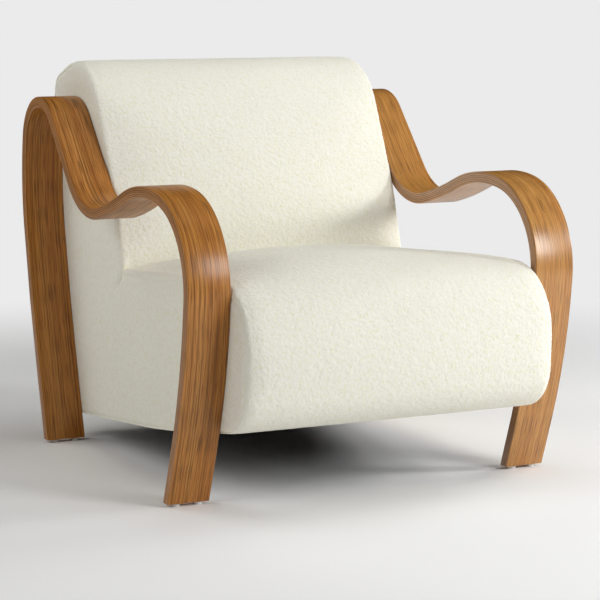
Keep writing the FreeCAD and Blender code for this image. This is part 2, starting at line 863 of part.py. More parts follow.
def make_corner_blocks():
    """Three-cornered blocks in the seat's corners, under its spring rails."""
    blocks = []
    leg = size["block_leg"]
    for name in ("seat_rear_rail", "front_spring_rail"):
        rail = [item for item in RAILS if item[0] == name][0]
        corner, direction, normal = rail_corner(*rail[1:5], rail[6])
        towards = 1 if name == "seat_rear_rail" else -1
        if towards > 0:
            corner = corner + direction * size["spring_rail_width"]
        down = -normal * ((size["spring_rail_depth"] - size["block_height"]) / 2)
        for hand in (-1, 1):
            top = [place(corner + down, hand * half_rail),
                   place(corner + down, hand * (half_rail - leg)),
                   place(corner + down + direction * (leg * towards), hand * half_rail)]
            face = Part.Face(Part.makePolygon(top + top[:1]))
            drop = place(corner - normal * size["block_height"], 0) - place(corner, 0)
            blocks.append(face.extrude(drop))
    return group("corner_blocks", blocks)


# Springs and what lies on them, in a plane parallel to the boards' seat edge

def seat_point(distance, across, height):
    """Point at a distance along the boards' seat edge, at a height over it."""
    point = along_side(board_corners, SEAT, distance, height)[0]
    return place(point, across)


spring_height = size["clip_thickness"] + size["thread_clearance"] + size["spring_wire_radius"]
rear_clip_end = size["seat_rear_rail_start"] + size["spring_rail_width"]
front_clip_end = (side_length(board_corners, SEAT) - size["front_spring_rail_start"]
                  - size["spring_rail_width"])


def spring_shape(across):
    """Sinuous spring: runs across, joined by half turns from side to side."""
    turn = size["spring_turn_radius"]
    half_run = size["spring_run"] / 2
    first = rear_clip_end - size["clip_top_leg"] / 2
    last = front_clip_end + size["clip_top_leg"] / 2
    loops = max(2, round((last - first) / (2 * turn)))
    step = (last - first) / loops
    edges = []
    for number in range(loops + 1):
        distance = first + step * number
        hand = 1 if number % 2 == 0 else -1
        start = seat_point(distance, across - hand * half_run, spring_height)
        end = seat_point(distance, across + hand * half_run, spring_height)
        edges.append(Part.LineSegment(start, end).toShape())
        if number < loops:
            over = seat_point(distance + step / 2, across + hand * (half_run + step / 2), spring_height)
            after = seat_point(distance + step, across + hand * half_run, spring_height)
            edges.append(Part.Arc(end, over, after).toShape())
    path = Part.Wire(edges)
    start = edges[0].Vertexes[0].Point
    ring = Part.makeCircle(size["spring_wire_radius"], start, Vector(1, 0, 0))
    return path.makePipeShell([Part.Wire([ring])], True, False)


spring_across = [(number - (size["spring_count"] - 1) / 2) * size["spring_pitch"]
                 for number in range(int(size["spring_count"]))]


def make_springs():
    return group("seat_springs", [spring_shape(across) for across in spring_across])


def clip_shape(across, distance, towards):
    """Hairpin clip on a rail that holds a spring's end run in its bend."""
    thick = size["clip_thickness"]
    inner = size["spring_wire_radius"] + size["thread_clearance"]
    outer = inner + thick

    def spot(along, height):
        return seat_point(distance + along * towards, across - size["clip_width"] / 2, height)

    middle = inner + thick
    edges = [
        Part.LineSegment(spot(-size["clip_leg"], 0), spot(0, 0)),
        Part.Arc(spot(0, 0), spot(outer, middle), spot(0, middle + outer)),
        Part.LineSegment(spot(0, middle + outer), spot(-size["clip_top_leg"], middle + outer)),
        Part.LineSegment(spot(-size["clip_top_leg"], middle + outer),
                         spot(-size["clip_top_leg"], middle + inner)),
        Part.LineSegment(spot(-size["clip_top_leg"], middle + inner), spot(0, middle + inner)),
        Part.Arc(spot(0, middle + inner), spot(inner, middle), spot(0, thick)),
        Part.LineSegment(spot(0, thick), spot(-size["clip_leg"], thick)),
        Part.LineSegment(spot(-size["clip_leg"], thick), spot(-size["clip_leg"], 0)),
    ]
    wire = Part.Wire([edge.toShape() for edge in edges])
    return Part.Face(wire).extrude(Vector(size["clip_width"], 0, 0))


def make_clips():
    shapes = []
    for across in spring_across:
        shapes.append(clip_shape(across, rear_clip_end - size["clip_top_leg"] / 2, 1))
        shapes.append(clip_shape(across, front_clip_end + size["clip_top_leg"] / 2, -1))
    return group("spring_clips", shapes)


def make_tie_wires():
    """Straight wires across the seat, close under the springs."""
    height = spring_height - size["spring_wire_radius"] - size["tie_wire_radius"] - size["fit_gap"]
    length = 2 * (half_rail - size["fit_gap"])
    shapes = []
    count = int(size["tie_wire_count"])
    for number in range(1, count + 1):
        distance = rear_clip_end + (front_clip_end - rear_clip_end) * number / (count + 1)
        start = seat_point(distance, -length / 2, height)
        shapes.append(Part.makeCylinder(size["tie_wire_radius"], length, start, Vector(1, 0, 0)))
    return group("spring_tie_wires", shapes)


def sheet_on_side(name, side, first, last, half_width, low, thickness):
    """Flat sheet over a board edge."""
    lower = [along_side(board_corners, side, distance, low)[0] for distance in (first, last)]
    upper = [along_side(board_corners, side, distance, low + thickness)[0] for distance in (last, first)]
    return solid_feature(name, polygon_prism(lower + upper, -half_width, half_width))


def make_spring_pad():
    """Felt over the springs, from rail to rail."""
    last = side_length(board_corners, SEAT) - size["front_spring_rail_start"]
    return sheet_on_side("spring_pad", SEAT, size["seat_rear_rail_start"], last,
                         half_frame - size["pad_side_gap"], pad_bottom, size["pad_thickness"])


def strap_starts():
    """Side and distance along it of each strap, counted from the lumbar bend."""
    step = size["strap_width"] + size["strap_gap"]
    starts = []
    back_length = side_length(board_corners, BACK)
    for number in range(int(size["upper_strap_count"])):
        reach = strap_first_start + step * number + size["strap_width"]
        starts.append((BACK, back_length - reach))
    for number in range(int(size["lower_strap_count"])):
        starts.append((LUMBAR, strap_first_start + step * number))
    return starts


def make_webbing():
    """Elastic straps from board to board, flat on their front edges."""
    half_width = half_frame - size["strap_end_inset"]
    shapes = []
    for side, start in strap_starts():
        ends = (start, start + size["strap_width"])
        lower = [along_side(board_corners, side, distance)[0] for distance in ends]
        upper = [along_side(board_corners, side, distance, size["strap_thickness"])[0]
                 for distance in reversed(ends)]
        shapes.append(polygon_prism(lower + upper, -half_width, half_width))
    return group("back_webbing", shapes)


def lumbar_bend(height):
    """The bend between back and lumbar at a height over the boards' edge."""
    offsets = list(board_insets)
    offsets[BACK] += height
    offsets[LUMBAR] += height
    corners = moved_corners(body_corners, offsets)
    return rounded_outline(corners, moved_radii(body_radii, offsets))[LUMBAR_BEND]


def make_lining():
    """Cloth over the straps, bent with the boards at the lumbar."""
    half_width = half_frame - size["strap_end_inset"]
    starts = strap_starts()
    top_start = min(start for side, start in starts if side == BACK)
    low_end = max(start for side, start in starts if side == LUMBAR) + size["strap_width"]
    faces = []
    for height in (lining_bottom, lining_top):
        upper = along_side(board_corners, BACK, top_start, height)[0]
        lower = along_side(board_corners, LUMBAR, low_end, height)[0]
        faces.append((upper, *lumbar_bend(height), lower))
    inner, outer = [[place(point, -half_width) for point in face] for face in faces]
    edges = [
        Part.LineSegment(inner[0], inner[1]),
        Part.Arc(*inner[1:4]),
        Part.LineSegment(inner[3], inner[4]),
        Part.LineSegment(inner[4], outer[4]),
        Part.LineSegment(outer[4], outer[3]),
        Part.Arc(outer[3], outer[2], outer[1]),
        Part.LineSegment(outer[1], outer[0]),
        Part.LineSegment(outer[0], inner[0]),
    ]
    wire = Part.Wire([edge.toShape() for edge in edges])
    return solid_feature("back_lining", Part.Face(wire).extrude(Vector(2 * half_width, 0, 0)))


# The soft body: sections across the chair, drawn in at the padded edges and crowned between

EDGE_ANGLES = (0, 30, 60, 90)
CROWN_SHARES = ((0.55, 0.7), (0, 1))


def section(across, inset, crown_share):
    offsets = [crown * crown_share - inset for crown in crowns]
    corners = moved_corners(body_corners, offsets)
    return outline_wire(rounded_outline(corners, moved_radii(body_radii, offsets)), across)


def soft_form(shrink):
    """The whole padded body, smaller by an even thickness."""
    half = half_body - shrink
    round_edge = size["edge_round"] - shrink
    stations = []
    for angle in EDGE_ANGLES:
        turn = math.radians(angle)
        across = half - round_edge + round_edge * math.cos(turn)
        inset = shrink + round_edge * (1 - math.sin(turn))
        stations.append((across, inset, 0))
    for across_share, crown_share in CROWN_SHARES:
        stations.append(((half - round_edge) * across_share, shrink, crown_share))
    left = [(-across, inset, crown) for across, inset, crown in stations]
    right = [station for station in reversed(stations) if station[0] > 0]
    wires = [section(*station) for station in left + right]
    return Part.makeLoft(wires, True, False)


def slab(low, high):
    """Everything between two places across."""
    far = size["chair_width"] + 2 * (front_reach - rear_reach)
    box = Part.makeBox(high - low, far, far)
    box.translate(Vector(low, -far / 2, -size["overrun"]))
    return box


def parting_points():
    """Big side view polygon above and behind the mitre between seat and back."""
    outer = body_corners[SEAT_REAR]
    inner = board_corners[SEAT_REAR]
    along = (outer - inner).normalize()
    far = size["chair_width"] + front_reach
    return [inner - along * far, outer + along * far,
            Vector(outer.x + far, far * 2, 0), Vector(inner.x - far * 2, far * 2, 0),
            Vector(inner.x - far * 2, inner.y - far, 0)]


def rear_region(low_up, high_up, depth):
    """Side view polygon over the rear of the body between two heights."""
    back = -size["overrun"]
    return [Vector(back, low_up, 0), Vector(back, high_up, 0), Vector(depth, high_up, 0),
            Vector(depth, low_up, 0)]


def holes_through(low, high, radius):
    """Bolt holes through the soft side layers."""
    return [Part.makeCylinder(radius, high - low, place(point, low), Vector(1, 0, 0))
            for point in bolt_points]


def make_soft_pieces():
    far = half_body + size["overrun"]
    outer_form = soft_form(0)
    inner_form = soft_form(size["cover_thickness"])
    mitre = polygon_prism(parting_points(), -far, far)
    hollow = prism(hollow_arcs, -far, far)
    core = inner_form.common(slab(-half_frame, half_frame)).cut(hollow)
    rear_line = board_corners[REAR_BOTTOM].x + size["rail_thickness"]
    rear_prism = polygon_prism(
        rear_region(0, size["rear_seam_up"], rear_line), -far, far)
    rear_wadding = core.common(rear_prism)
    foam = core.cut(rear_prism)
    pieces = {
        "rear_wadding": rear_wadding,
        "seat_foam": foam.cut(mitre),
        "back_foam": foam.common(mitre),
    }
    hole = size["bolt_radius"] + size["bolt_clearance"]
    seam_offsets = [-size["edge_round"]] * len(crowns)
    seam_arcs = rounded_outline(moved_corners(body_corners, seam_offsets),
                                moved_radii(body_radii, seam_offsets))
    covers = []
    for side, hand in (("left", -1), ("right", 1)):
        low, high = sorted((hand * half_frame, hand * far))
        wadding = inner_form.common(slab(low, high))
        pieces["side_wadding_" + side] = wadding.cut(holes_through(low, high, hole))
        low, high = sorted((hand * half_form, hand * half_body))
        cover = prism(seam_arcs, low, high)
        covers.append(cover)
        pieces["side_cover_" + side] = cover.cut(holes_through(low, high, hole))
    band = outer_form.cut([inner_form] + covers)
    belly_front = board_corners[FRONT_BOTTOM].x - size["bottom_turn_under"]
    belly_rear = board_corners[REAR_BOTTOM].x + size["bottom_turn_under"]
    under = size["seat_rear_up"] / 2
    belly = polygon_prism([
        Vector(belly_rear, 0, 0), Vector(belly_front, 0, 0),
        Vector(belly_front, under, 0), Vector(belly_rear, under, 0)], -far, far)
    rear_band = polygon_prism(
        rear_region(-size["overrun"], size["rear_seam_up"], belly_rear), -far, far)
    pieces["dust_cover"] = band.common(belly)
    pieces["outside_back_cover"] = band.common(rear_band)
    rest = band.cut([belly, rear_band])
    pieces["back_cover"] = rest.common(mitre)
    pieces["seat_cover"] = rest.cut(mitre)
    return [solid_feature(name, shape) for name, shape in pieces.items()]


nodes = [make_arm("arm_left", -1), make_arm("arm_right", 1)]
nodes += [make_glides(), make_nails(), make_inserts(), make_washers(), make_bolts()]
nodes += [make_board("side_board_left", -1), make_board("side_board_right", 1)]
nodes += [make_rail(rail) for rail in RAILS]
nodes += [make_dowels(), make_corner_blocks()]
nodes += [make_springs(), make_clips(), make_tie_wires(), make_spring_pad()]
nodes += [make_webbing(), make_lining()]
nodes += make_soft_pieces()
doc.recompute()

for item in doc.Objects:
    if "Invalid" in item.State or "Error" in item.State:
        raise RuntimeError("%s is %s" % (item.Label, item.State))
for node in nodes:
    if node.Shape.isNull() or not node.Shape.isValid() or not node.Shape.Solids:
        raise RuntimeError(node.Label + " has no valid shape")

os.makedirs("parts", exist_ok=True)
for node in nodes:
    node.Shape.exportStep("parts/%s.step" % node.Label)
    print(node.Label, len(node.Shape.Solids), round(node.Shape.Volume))
whole = nodes[0].Shape.BoundBox
for node in nodes[1:]:
    whole.add(node.Shape.BoundBox)
print("whole", whole)
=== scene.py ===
from functools import partial
import json
import math

import bmesh
import bpy
from bpy.props import FloatProperty, FloatVectorProperty, IntProperty, PointerProperty
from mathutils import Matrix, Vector
from mathutils.geometry import delaunay_2d_cdt


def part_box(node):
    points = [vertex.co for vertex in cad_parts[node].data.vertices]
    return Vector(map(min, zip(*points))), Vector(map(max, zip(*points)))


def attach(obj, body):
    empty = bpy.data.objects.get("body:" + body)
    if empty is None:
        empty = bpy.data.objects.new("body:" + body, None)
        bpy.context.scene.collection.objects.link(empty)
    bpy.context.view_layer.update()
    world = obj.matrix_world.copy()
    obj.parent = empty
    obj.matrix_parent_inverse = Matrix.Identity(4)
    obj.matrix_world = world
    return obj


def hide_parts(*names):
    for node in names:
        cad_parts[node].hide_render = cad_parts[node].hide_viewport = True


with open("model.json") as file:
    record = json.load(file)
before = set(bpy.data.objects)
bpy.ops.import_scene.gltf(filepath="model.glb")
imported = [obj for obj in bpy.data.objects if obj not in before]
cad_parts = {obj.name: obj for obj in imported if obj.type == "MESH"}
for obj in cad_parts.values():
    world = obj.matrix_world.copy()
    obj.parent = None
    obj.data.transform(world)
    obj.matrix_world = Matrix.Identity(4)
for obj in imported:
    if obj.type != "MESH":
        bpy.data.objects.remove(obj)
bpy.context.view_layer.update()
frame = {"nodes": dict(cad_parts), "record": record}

# Upholstered lounge chair: one padded L-shaped body between two bent laminated ribbons.
# The chair faces -Y. In side view a point is (fore, up): fore is counted forwards from the
# rear plane of the padded body, up from the floor. A heading of 0 points forwards, 90 up.

bl_info = {
    "name": "Lounge chair",
    "version": (1, 0, 0),
    "blender": (4, 5, 0),
    "location": "View3D > Sidebar > Lounge chair",
    "description": "Builds the looks of a lounge chair with bent wood arms round its frame",
    "category": "Object",
}

ARM_LOW, ARM_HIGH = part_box("arm_left")
STRIP_WIDTH = ARM_HIGH.x - ARM_LOW.x
STRIP_MIDDLE = (ARM_HIGH.x + ARM_LOW.x) / 2
FOOT_LEVEL = ARM_LOW.z
HALF_BODY = -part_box("side_cover_left")[0].x


def length(name, default, description, least=0.0):
    return FloatProperty(name=name, description=description, default=default, min=least,
                         unit="LENGTH", precision=4)


def corner_place(name, default, what):
    """Fore and up of a corner of the padded body's outline."""
    return FloatVectorProperty(name=name, description=what + ": how far in front of the rear plane, and up",
                               default=default, size=2, unit="LENGTH", precision=4)


def rotation(name, default, description, least=-math.pi):
    return FloatProperty(name=name, description=description, default=default, min=least, unit="ROTATION")


def heading(name, degrees):
    return rotation(name, math.radians(degrees), "Heading in side view where this run of the strip ends")


def power(name, default, description):
    return FloatProperty(name=name, description=description, default=default, min=0.0, unit="POWER")


def amount(name, default, description, most=100.0):
    return FloatProperty(name=name, description=description, default=default, min=0.0, max=most)


def whole_number(name, default, description, least):
    return IntProperty(name=name, description=description, default=default, min=least)


def colour(name, default, description):
    return FloatVectorProperty(name=name, description=description, default=default, size=3,
                               subtype="COLOR", min=0.0, max=1.0)


class RibbonSizes(bpy.types.PropertyGroup):
    """The laminated strip, run by run, from the rear foot over the arm to the front foot"""
    thickness: length("Thickness", 0.022, "Thickness of the laminated strip")
    edge_round: length("Edge round", 0.0025, "Rounding of the strip's long edges")
    ply_count: whole_number("Plies", 6, "Veneers glued into the strip", 2)
    middle_fore: length("Middle", 0.494383, "How far the chair's middle lies in front of its rear plane")
    rear_foot_fore: length("Rear foot", 0.1615, "Place of the rear foot")
    rear_foot_heading: heading("Rear foot heading", 105.4)
    rear_foot_run: length("Rear foot run", 0.140, "Straight run over the rear foot")
    rear_leg_radius: length("Rear leg radius", 2.870, "Bend of the rear leg")
    rear_leg_heading: heading("Rear leg heading", 99.2)
    rear_shoulder_radius: length("Rear shoulder radius", 0.540, "Bend under the top of the rear leg")
    rear_shoulder_heading: heading("Rear shoulder heading", 79.5)
    apex_radius: length("Apex radius", 0.091, "Tight bend at the top of the rear leg")
    slope_heading: heading("Slope heading", -48.3)
    slope_run: length("Slope run", 0.161, "Straight run down from the top")
    trough_radius: length("Trough radius", 0.152, "Hollow of the arm")
    arm_heading: heading("Arm heading", 12.4)
    rise_radius: length("Rise radius", 0.8236, "Slow bend of the arm's rise")
    hump_heading: heading("Hump heading", 21.6)
    hump_radius: length("Hump radius", 0.304, "Bend of the arm's hump")
    hump_end_heading: heading("Hump end heading", -10.6)
    front_shoulder_radius: length("Front shoulder radius", 0.162, "Bend from the arm into the front leg")
    front_shoulder_heading: heading("Front shoulder heading", -95.1)
    front_leg_radius: length("Front leg radius", 1.105, "Bend of the front leg")
    front_foot_heading: heading("Front foot heading", -110.1)
    bend_step: rotation("Bend step", math.radians(2.5), "Turn between two sections of a bend",
                        math.radians(0.5))


class BodySizes(bpy.types.PropertyGroup):
    """The padded body in side view and how far its faces swell"""
    rear_bottom: corner_place("Rear bottom", (0.068, 0.044), "Rear bottom corner")
    rear_bottom_radius: length("Rear bottom radius", 0.025, "Rounding of that corner")
    rear_top: corner_place("Rear top", (0, 0.746), "Rear top corner")
    rear_top_radius: length("Rear top radius", 0.055, "Rounding of that corner")
    back_top: corner_place("Back top", (0.216, 0.823), "Front top corner of the back")
    back_top_radius: length("Back top radius", 0.148, "Rounding of that corner")
    lumbar: corner_place("Lumbar", (0.3645, 0.498), "Bend in the front of the back")
    lumbar_radius: length("Lumbar radius", 0.600, "Rounding of that bend")
    seat_rear: corner_place("Seat rear", (0.3945, 0.390), "Corner between seat and back")
    seat_front: corner_place("Seat front", (0.9855, 0.434), "Front edge of the seat")
    seat_front_radius: length("Seat front radius", 0.130, "Rounding of that edge")
    front_bottom: corner_place("Front bottom", (0.9765, 0.158), "Lower front edge")
    front_bottom_radius: length("Front bottom radius", 0.098, "Rounding of that edge")
    belly: corner_place("Belly", (0.5625, 0.091), "Bend in the underside")
    belly_radius: length("Belly radius", 3.0, "Rounding of that bend")
    rear_crown: length("Rear crown", 0.004, "Swell of the outside back")
    top_crown: length("Top crown", 0.001, "Swell of the top")
    back_crown: length("Back crown", 0.012, "Swell of the back's front")
    seat_crown: length("Seat crown", 0.018, "Swell of the seat")
    front_crown: length("Front crown", 0.007, "Swell of the seat's front")
    belly_crown: length("Belly crown", 0.001, "Sag of the underside")
    edge_round: length("Side rounding", 0.020, "Rounding between the faces and the sides")
    rear_seam_inset: length("Rear seam inset", 0.018, "Side seam inside the rear outline")
    top_seam_inset: length("Top seam inset", 0.011, "Side seam inside the top outline")
    back_seam_inset: length("Back seam inset", 0.009, "Side seam inside the back's upper front")
    lumbar_seam_inset: length("Lumbar seam inset", 0.014, "Side seam inside the back's lower front")
    seat_seam_inset: length("Seat seam inset", 0.017, "Side seam inside the seat's outline")
    front_seam_inset: length("Front seam inset", 0.022, "Side seam inside the seat's front")
    belly_seam_inset: length("Belly seam inset", 0.002, "Side seam inside the underside's outline")
    crease_round: length("Crease rounding", 0.022, "Rounding of seat and back where they meet")
    pad_depth: length("Pad depth", 0.045, "Depth of the padding under the cover")
    slack_share: amount("Slack", 0.4, "Share of the swell before the cover is blown up", 1.0)
    pressure: amount("Pressure", 4.0, "Pressure that blows up the cover")
    cloth_frames: whole_number("Cloth frames", 20, "Length of the cloth simulation", 2)
    ease_steps: whole_number("Ease steps", 14, "Smoothing of the blown up cover", 0)
    held_rows: whole_number("Held rows", 4, "Rows of the cover held at its seams", 1)
    most_swell: length("Most swell", 0.022, "Furthest that the pressure may move the cover")
    seam_depth: length("Seam depth", 0.003, "How far the cover is drawn in at a seam")
    fold_length: length("Fold", 0.062, "Length of the fold in each side at the seat's rear corner")
    fold_depth: length("Fold depth", 0.008, "Depth of that fold at its start")
    fold_lean: rotation("Fold lean", math.radians(-12), "Turn of that fold from the corner's middle")
    dust_gap: length("Dust cover gap", 0.0018, "How far the cloth under the seat hangs below the body")
    dust_hem: length("Dust cover hem", 0.030, "Strip along the cloth's rim that is drawn up against the body")
    seam_gap: length("Seam gap", 0.0006, "Gap between two covers at a seam")
    rear_seam_up: length("Rear seam", 0.690, "Height of the seam across the outside back")
    dust_rear_fore: length("Dust cover, rear", 0.110, "Rear end of the cloth under the seat")
    cell: length("Cell", 0.009, "Size of the cover's mesh before it is refined", 0.002)
    nub_height: length("Nub height", 0.0019, "Relief of the looped yarn")
    nub_size: length("Nub size", 0.0035, "Size of one loop of yarn")


class Finishes(bpy.types.PropertyGroup):
    """Colours of the chair's finishes, with the painted shade in the yarn's hollows"""
    oak: colour("Oak", (0.335, 0.121, 0.022), "Face veneer between the pores")
    oak_light: colour("Light oak", (0.545, 0.266, 0.074), "Light streaks of the face veneer")
    oak_pore: colour("Oak pores", (0.060, 0.018, 0.003), "Open pores of the veneer")
    ply: colour("Plies", (0.500, 0.235, 0.085), "Cut edges of the veneers")
    ply_line: colour("Glue lines", (0.085, 0.028, 0.009), "Lines between the veneers")
    yarn: colour("Yarn", (0.912, 0.895, 0.806), "Crests of the looped yarn")
    # Painted shade: the hollows between the loops get a darker, yellower colour for the shade and the light
    # bounced inside the yarn.
    yarn_hollow_shade: colour("Yarn, painted hollow shade", (0.815, 0.790, 0.570), "Hollows between the loops")


class StageSizes(bpy.types.PropertyGroup):
    """Camera, floor and lamps"""
    camera_place: FloatVectorProperty(name="Camera", description="Place of the camera",
                                      default=(-1.9018, -3.8822, 0.9350), size=3, subtype="XYZ",
                                      unit="LENGTH")
    camera_yaw: rotation("Camera yaw", 0.4604, "Turn of the camera to the right of straight in")
    camera_pitch: rotation("Camera pitch", 0.1423, "How far the camera looks down")
    focal_length: FloatProperty(name="Focal length", description="In millimetres on a 36 mm sensor",
                                default=131.06, min=1.0, unit="CAMERA")
    key_power: power("Key lamp", 42.0, "Small lamp at the front right, which casts the shadows")
    right_power: power("Right lamp", 25.0, "Large lamp on the right")
    top_power: power("Top lamp", 13.0, "Large lamp over the chair")
    front_power: power("Front lamp", 51.0, "Large lamp beside the camera's right")
    left_power: power("Left lamp", 28.0, "Large lamp on the left")
    rear_left_power: power("Rear left lamp", 32.0, "Large lamp behind the left side")
    sky: amount("Sky", 0.01, "Strength of the even light all round")
    backdrop: amount("Backdrop", 0.83, "Brightness of the backdrop")
    clear_radius: length("Floor radius", 1.0, "Where the floor begins to turn into the backdrop")
    backdrop_radius: length("Backdrop radius", 2.4, "Where the floor has turned into the backdrop")


# Corners of the padded body's outline, and the swell and seam inset of the side that starts at each.
CORNERS = ("rear_bottom", "rear_top", "back_top", "lumbar",
           "seat_rear", "seat_front", "front_bottom", "belly")
CROWNS = ("rear", "top", "back", "back", "seat", "front", "belly", "belly")
INSETS = ("rear", "top", "back", "lumbar", "seat", "front", "belly", "belly")
REAR_BOTTOM, REAR_TOP, SEAT_REAR, BELLY_BEND = 0, 1, 4, 7
REAR_SIDE, BELLY_SIDE, BOTTOM_SIDE = 0, 6, 7

# The strip's edge rounding in segments, and the angle up to which its faces are shaded as smooth.
EDGE_SEGMENTS = 4
SMOOTH_ANGLE = math.radians(35)
# Steps of a pad's outline to one step of its inner face, and the fewest sections in its rounding.
INNER_STEP = 6
FINE_STATIONS = 3
# The cloth simulation's settings beside its pressure.
CLOTH = {
    "quality": 5, "mass": 0.3, "tension_stiffness": 30, "compression_stiffness": 5,
    "shear_stiffness": 10, "bending_stiffness": 15, "use_pressure": True, "vertex_group_mass": "held",
}
# Clouds that raise the cover's loops: size in loops and share of their height.
RELIEF = {"loops": (1, 1), "drift": (2.8, 0.4)}
# Rings of points inside a side panel's rim, in cells from it, and the share of the seam's depth at
# the rim, on the ring next to it and further in. The last ring bounds the rows of points.
RING_CELLS = (0, 0.8, 1.7, 2.3)
RING_DEPTHS = (1, 0.3, 0)
# Width of the fold as a share of its length, and the power with which it fades.
FOLD_WIDTH, FOLD_FADE = 0.11, 1.5
# Cells of the cloth under the seat, across and along.
DUST_CELLS = (40, 48)
# Stretch of veneer, scale of its colours, strength of its dark bands and weight of its lacquer. The colour
# scales paint light and shade: the right ribbon's veneer is made lighter and paler for the lamps on the
# chair's right and their sheen on the lacquer, and the left's deeper and more saturated as painted shade.
VENEERS_LIT_AND_SHADED = {"left": (0.0, (1.12, 1.03, 0.80), 0.55, 0.45), "right": (3.7, (1.27, 1.34, 1.30), 0.2, 1.0)}


def ribbon_sizes():
    return bpy.context.scene.chair_ribbon


def body_sizes():
    return bpy.context.scene.chair_body


def finishes():
    return bpy.context.scene.chair_finishes


# Side view helpers

def heading_vector(angle):
    return Vector((math.cos(angle), math.sin(angle)))


def left_of(direction):
    return Vector((-direction.y, direction.x))


def cross(first, second):
    return first.x * second.y - first.y * second.x


def place(point, across):
    """A side view point as a point of the chair."""
    return Vector((across, ribbon_sizes().middle_fore - point.x, point.y))


def side_view(spot):
    """Side view point of a point of the chair."""
    return Vector((ribbon_sizes().middle_fore - spot.y, spot.z))


# Mesh helpers

def start_clean():
    """Nothing selected and nothing in edit mode, so that an operator acts on one piece only."""
    if bpy.context.object and bpy.context.object.mode != "OBJECT":
        bpy.ops.object.mode_set(mode="OBJECT")
    bpy.ops.object.select_all(action="DESELECT")


def make_active(piece):
    start_clean()
    piece.select_set(True)
    bpy.context.view_layer.objects.active = piece


def apply_modifiers(piece):
    make_active(piece)
    for name in [modifier.name for modifier in piece.modifiers]:
        bpy.ops.object.modifier_apply(modifier=name)


def mesh_piece(name, vertices, faces):
    """New piece from a list of places and faces, with its faces pointing outwards."""
    mesh = bpy.data.meshes.new(name)
    mesh.from_pydata([tuple(vertex) for vertex in vertices], [], faces)
    shape = bmesh.new()
    shape.from_mesh(mesh)
    bmesh.ops.recalc_face_normals(shape, faces=shape.faces)
    shape.to_mesh(mesh)
    shape.free()
    piece = bpy.data.objects.new(name, mesh)
    bpy.context.scene.collection.objects.link(piece)
    return piece


def twin(piece, name):
    """Copy of a piece with a mesh of its own, made active."""
    other = piece.copy()
    other.data = piece.data.copy()
    other.name = name
    bpy.context.scene.collection.objects.link(other)
    make_active(other)
    return other


def face_outwards():
    """Turn every face of the edited piece outwards and leave edit mode."""
    bpy.ops.mesh.select_all(action="SELECT")
    bpy.ops.mesh.normals_make_consistent(inside=False)
    bpy.ops.object.mode_set(mode="OBJECT")


def shade_smooth(piece):
    for polygon in piece.data.polygons:
        polygon.use_smooth = True


def settle(piece, slot_name, material, *nodes):
    """Give a finished piece its material and body, and hide the CAD nodes that it stands for. The slot name
    is not used.
    """
    piece.data.materials.clear()
    piece.data.materials.append(material)
    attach(piece, "root")
    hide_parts(*nodes)


# The ribbon

def ribbon_runs():
    """Straight and bent runs as (start, heading, end heading, radius, length)."""
    sizes = ribbon_sizes()
    plan = [
        (sizes.rear_foot_heading, 0, sizes.rear_foot_run),
        (sizes.rear_leg_heading, sizes.rear_leg_radius, 0),
        (sizes.rear_shoulder_heading, sizes.rear_shoulder_radius, 0),
        (sizes.slope_heading, sizes.apex_radius, 0),
        (sizes.slope_heading, 0, sizes.slope_run),
        (sizes.arm_heading, sizes.trough_radius, 0),
        (sizes.hump_heading, sizes.rise_radius, 0),
        (sizes.hump_end_heading, sizes.hump_radius, 0),
        (sizes.front_shoulder_heading, sizes.front_shoulder_radius, 0),
        (sizes.front_foot_heading, sizes.front_leg_radius, 0),
    ]
    point = Vector((sizes.rear_foot_fore, FOOT_LEVEL))
    angle = sizes.rear_foot_heading
    runs = []
    for end, radius, run in plan:
        runs.append((point, angle, end, radius, run))
        if radius:
            centre, side = bend_centre(point, angle, end, radius)
            point = centre - left_of(heading_vector(end)) * (radius * side)
        else:
            point = point + heading_vector(angle) * run
        angle = end
    runs.append((point, angle, angle, 0, (FOOT_LEVEL - point.y) / heading_vector(angle).y))
    return runs


def bend_centre(start, angle, end, radius):
    """Centre of a bend, and 1 if it turns to the left or -1 if to the right."""
    side = math.copysign(1, end - angle)
    return start + left_of(heading_vector(angle)) * (radius * side), side


def run_length(run):
    angle, end, radius, straight = run[1:]
    return abs(end - angle) * radius if radius else straight


def strip_place(point, runs):
    """How far along the strip a side view point lies, and how far over its middle line."""
    best = None
    walked = 0
    for run in runs:
        start, angle, end, radius, straight = run
        if radius:
            centre, side = bend_centre(start, angle, end, radius)
            out = point - centre
            begin = -left_of(heading_vector(angle)) * side
            turn = math.atan2(cross(begin, out), begin.dot(out)) * side
            turn = max(0, min(abs(end - angle), turn))
            along = turn * radius
            direction = heading_vector(angle + turn * side)
            middle = centre - left_of(direction) * (radius * side)
        else:
            direction = heading_vector(angle)
            along = max(0, min(straight, (point - start).dot(direction)))
            middle = start + direction * along
        gap = (point - middle).length
        if best is None or gap < best[0]:
            best = (gap, walked + along, (point - middle).dot(left_of(direction)))
        walked += run_length(run)
    return best[1], best[2]


